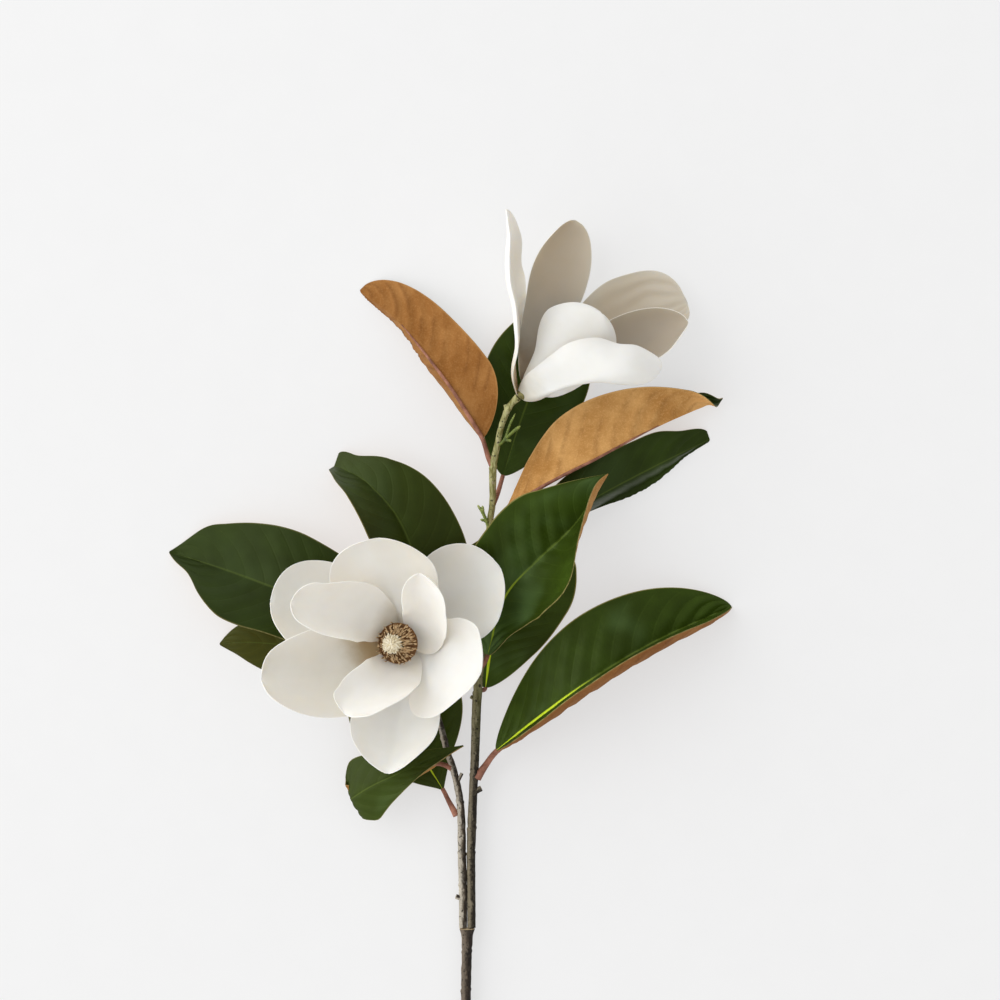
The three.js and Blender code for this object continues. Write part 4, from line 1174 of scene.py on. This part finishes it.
goldenTurn = math.radians(137.508)
neck = 5.2  # inner radius of the stamen ring, round the neck of the knob
knob = dict(
    heights=[0, 0.6, 2.5, 7, 9.6, 11, 18.7, 19.6, 21.6, 23.3, 24.4],
    radii=[2.2, 5.2, 6.6, 6.8, 6.2, 5, 5, 5.6, 4.8, 3.2, 0.6],
    leanFrom=17, leanOver=5, slimming=0.25,
)
carpelStyle = dict(length=3.4, width=1.5, depth=1.3, rings=6, sides=6)
carpelDome = dict(radius=4.4, top=23.2, drop=4.8, roundness=2.4)
stamenStrap = dict(length=6.2, width=1.05, depth=0.65, rings=8, sides=6)
stamenWhorls = dict(low=13.8, climb=2.8, outer=11.8, inward=5.6)
collar = dict(around=48, rows=30, gap=0.05, rough=0.35)
collarLength = 0.3  # the share of the stamen colours that it shows, from their dark foot
collarProfile = [
    [neck, 11.8], [7.6, 12.6], [10.4, 13.6], [12.3, 14.8], [12.5, 15.6], [11.2, 16.4], [8.8, 17.2],
    [6.4, 17.9], [neck, 17.8], [5.1, 14.8], [neck, 11.8],
]


def addStrap(name, strap, material, taper):
    # one straight strap along y, closed at both ends; its copies are bent into place
    points = [[0, strap["length"] * k / (strap["rings"] - 1), 0] for k in range(strap["rings"])]
    shares = np.linspace(0, 1, strap["rings"])
    radii = (taper(shares) * strap["width"] / 2).tolist()
    step = strap["length"] / (strap["rings"] - 1)
    piece = addTube(name, points, radii, strap["sides"], step, [material])
    places = (readPlaces(piece) - layoutShift) / mm
    places[:, 2] *= strap["depth"] / strap["width"]
    piece.data.vertices.foreach_set("co", places.ravel())
    return piece


def awayFrom(flower, angle):
    # the direction square to the flower's axis at an angle round it
    first = unit(np.cross([0, 1, 0], flower["axis"]))
    second = np.cross(flower["axis"], first)
    angle = np.array(angle)[..., None]
    return first * np.cos(angle) + second * np.sin(angle)


def bendStrap(places, flower, angle, start, lean, curl, twist, size):
    # bends a straight strap in the plane of the flower's axis, then stands it in the flower
    reach = places[:, 1] * size
    swing = twist * places[:, 1]
    wide = places[:, 0] * np.cos(swing) - places[:, 2] * np.sin(swing)
    deep = places[:, 0] * np.sin(swing) + places[:, 2] * np.cos(swing)
    tilt = lean + curl * reach
    safe = curl if abs(curl) > 1e-4 else 1e-4
    outward = start[0] + (np.sin(tilt) - np.sin(lean)) / safe - deep * np.sin(tilt)
    upward = start[1] + (np.cos(lean) - np.cos(tilt)) / safe + deep * np.cos(tilt)
    axis = flower["axis"]
    away = awayFrom(flower, angle)
    beside = np.cross(axis, away)
    return flower["foot"] + away * outward[:, None] + axis * upward[:, None] + beside * wide[:, None]


def copyStrap(strap, places):
    twin = strap.copy()
    twin.data = strap.data.copy()
    bpy.context.collection.objects.link(twin)
    twin.data.vertices.foreach_set("co", placed(places).ravel())
    twin.data.update()
    return twin


def coneRelief(points, across, distance):
    return 0.25 * cloudiness(points * mm, 420, 1.0)


def addCollar(flower):
    # the dense brown ring that the stamens stand on, turned round the flower's axis
    piece, order, across, lengthwise = addSheet("collar", collar["around"], collar["rows"])
    setMap(piece, order, across, lengthwise * collarLength)
    profile = smoothThrough(collarProfile, lengthwise)
    radius = neck * flower["girth"] + (profile[..., 0] - neck) * flower["spread"]
    away = awayFrom(flower, 2 * np.pi * across)
    foot = flower["foot"] + flower["ringShift"]
    points = foot + away * radius[..., None] + flower["axis"] * profile[..., 1:2]
    points = points + away * (collar["rough"] * cloudiness(points * mm, 700, 6.0))[..., None]
    setPlaces(piece, order, placed(points))
    piece.data.materials.append(stamenTan)
    weldSeam(piece, collar["gap"] * mm, False)
    return piece


def buildCarpels(flower, prefix, dice):
    # the knob, turned along the flower's axis, with the styles on its top
    girth, shift = flower["girth"], np.array(flower["knotShift"])
    heights = np.linspace(0, knob["heights"][-1], 25)
    lifted = np.clip((heights - knob["leanFrom"]) / knob["leanOver"], 0, 1)
    line = flower["foot"] + flower["axis"] * heights[:, None] + shift * lifted[:, None]
    radii = np.interp(heights, knob["heights"], knob["radii"]) * girth * (1 - knob["slimming"] * lifted)
    cone = addTube(prefix + "Cone", line.tolist(), radii.tolist(), 28, 0.6, [receptacleSkin, carpelCream],
                   up=(0, 1, 0), relief=coneRelief)
    styles = []
    style = addStrap("style", carpelStyle, carpelCream, lambda s: (1 - s) ** 0.55 * 1.05 + 0.08)
    base = readPlaces(style)
    for i in range(flower["carpels"]):
        share = math.sqrt((i + 0.5) / flower["carpels"])  # 0 at the top of the dome, 1 at its rim
        outward = carpelDome["radius"] * girth * share
        height = carpelDome["top"] - carpelDome["drop"] * share ** carpelDome["roundness"]
        lean = math.radians(96 - 44 * share + dice.uniform(-12, 12))
        curl = math.radians(dice.uniform(-52, -22))
        angle = i * goldenTurn + dice.uniform(-0.15, 0.15)
        size = dice.uniform(0.75, 1.0) * (0.7 + 0.3 * girth)
        twist = dice.uniform(-0.12, 0.12)
        bent = bendStrap(base, flower, angle, (outward, height), lean, curl, twist, size)
        styles.append(copyStrap(style, bent + shift))
    bpy.data.objects.remove(style)
    joinInto(cone, styles)
    smoothFaces(cone, 60)
    finishPiece(cone, prefix + "_cone")


def buildStamens(flower, prefix, dice):
    # the stamens, in whorls round the neck of the knob
    girth, spread, shift = flower["girth"], flower["spread"], np.array(flower["ringShift"])
    strap = addStrap("strap", stamenStrap, stamenTan, lambda s: 0.6 + 0.4 * s - 0.45 * s ** 6)
    base = readPlaces(strap)
    whole = addCollar(flower)
    ring = []
    for i in range(flower["stamens"]):
        share = (i + 0.5) / flower["stamens"]  # 0 for the lowest and outermost, 1 for the innermost
        height = stamenWhorls["low"] + stamenWhorls["climb"] * share
        outward = (stamenWhorls["outer"] - stamenWhorls["inward"] * share - neck) * spread + neck * girth
        lean = math.radians(42 + 42 * share + (1 - spread) * 15 + dice.uniform(-18, 18))
        curl = math.radians(dice.uniform(9, 24))
        angle = i * goldenTurn + dice.uniform(-0.15, 0.15)
        size = dice.uniform(0.8, 1.05) * (1 - 0.15 * share) * (0.75 + 0.25 * spread)
        twist = dice.uniform(-0.16, 0.16)
        bent = bendStrap(base, flower, angle, (outward, height), lean, curl, twist, size)
        ring.append(copyStrap(strap, bent + shift))
    bpy.data.objects.remove(strap)
    whole.name = whole.data.name = prefix + "Stamens"
    joinInto(whole, ring)
    smoothFaces(whole, 60)
    finishPiece(whole, prefix + "_stamens")


for flower, prefix in ((openFlower, "open"), (cupFlower, "cup")):
    dice = random.Random(flower["seed"])
    buildCarpels(flower, prefix, dice)
    buildStamens(flower, prefix, dice)
print("flower middles made")


tableTop = dict(size=6.0, glow=0.55)  # it glows a little, so shadows on it stay faint
keyLight = dict(place=(-1.7, 0.6, 1.45), size=2.4, power=24.0)
fillLight = dict(place=(1.3, -0.8, 1.3), size=1.8, power=1.0)
skyLow, skyHigh = 1.08, 0.68  # at the horizon and overhead
skyLeft, skyRight = 1.5, 0.5  # shares of it on the two sides
cameraHeight = 2.082
lens = 120
sensorWidth = 36

clearSelection()
bpy.ops.mesh.primitive_plane_add(size=tableTop["size"])
table = bpy.context.object
table.name = "table"
paint, tree, surface = newMaterial("tablePaint")
grain = speckle(tree, objectPlace(tree), 40.0, 3.0)
tree.links.new(mixColours(tree, grain, rgb(154, 154, 154), rgb(158, 158, 158)), surface.inputs["Base Color"])
surface.inputs["Emission Color"].default_value = (1.0, 1.0, 1.0, 1.0)
surface.inputs["Emission Strength"].default_value = tableTop["glow"]
surface.inputs["Roughness"].default_value = 0.9
surface.inputs["Specular IOR Level"].default_value = 0.1
table.data.materials.append(paint)


def addAreaLight(name, light):
    bpy.ops.object.light_add(type="AREA", location=Vector(light["place"]) + Vector(layoutShift))
    lamp = bpy.context.object
    lamp.name = name
    lamp.data.size = light["size"]
    lamp.data.energy = light["power"]
    aim = Vector(layoutShift) - lamp.location
    lamp.rotation_euler = aim.to_track_quat("-Z", "Y").to_euler()


addAreaLight("keyLight", keyLight)
addAreaLight("fillLight", fillLight)

world = bpy.data.worlds.new("studio")
bpy.context.scene.world = world
world.use_nodes = True
sky = world.node_tree
direction = addNode(sky, "ShaderNodeTexCoord").outputs["Generated"]
parts = addNode(sky, "ShaderNodeSeparateXYZ", {0: direction}).outputs
level = ramp(sky, parts[2], 0.0, 1.0, skyLow, skyHigh, "LINEAR")
level = times(sky, level, ramp(sky, parts[0], -1.0, 1.0, skyLeft, skyRight, "LINEAR"))
sky.nodes["Background"].inputs["Color"].default_value = (1.0, 1.0, 1.0, 1.0)
sky.links.new(level, sky.nodes["Background"].inputs["Strength"])

bpy.ops.object.camera_add(location=Vector(layoutShift) + Vector((0, 0, cameraHeight)), rotation=(0, 0, 0))
camera = bpy.context.object
camera.name = "camera"
camera.data.lens = lens
camera.data.sensor_width = sensorWidth
bpy.context.scene.camera = camera
bpy.context.scene.view_settings.view_transform = "Standard"
clearSelection()
print("table, light and camera set")
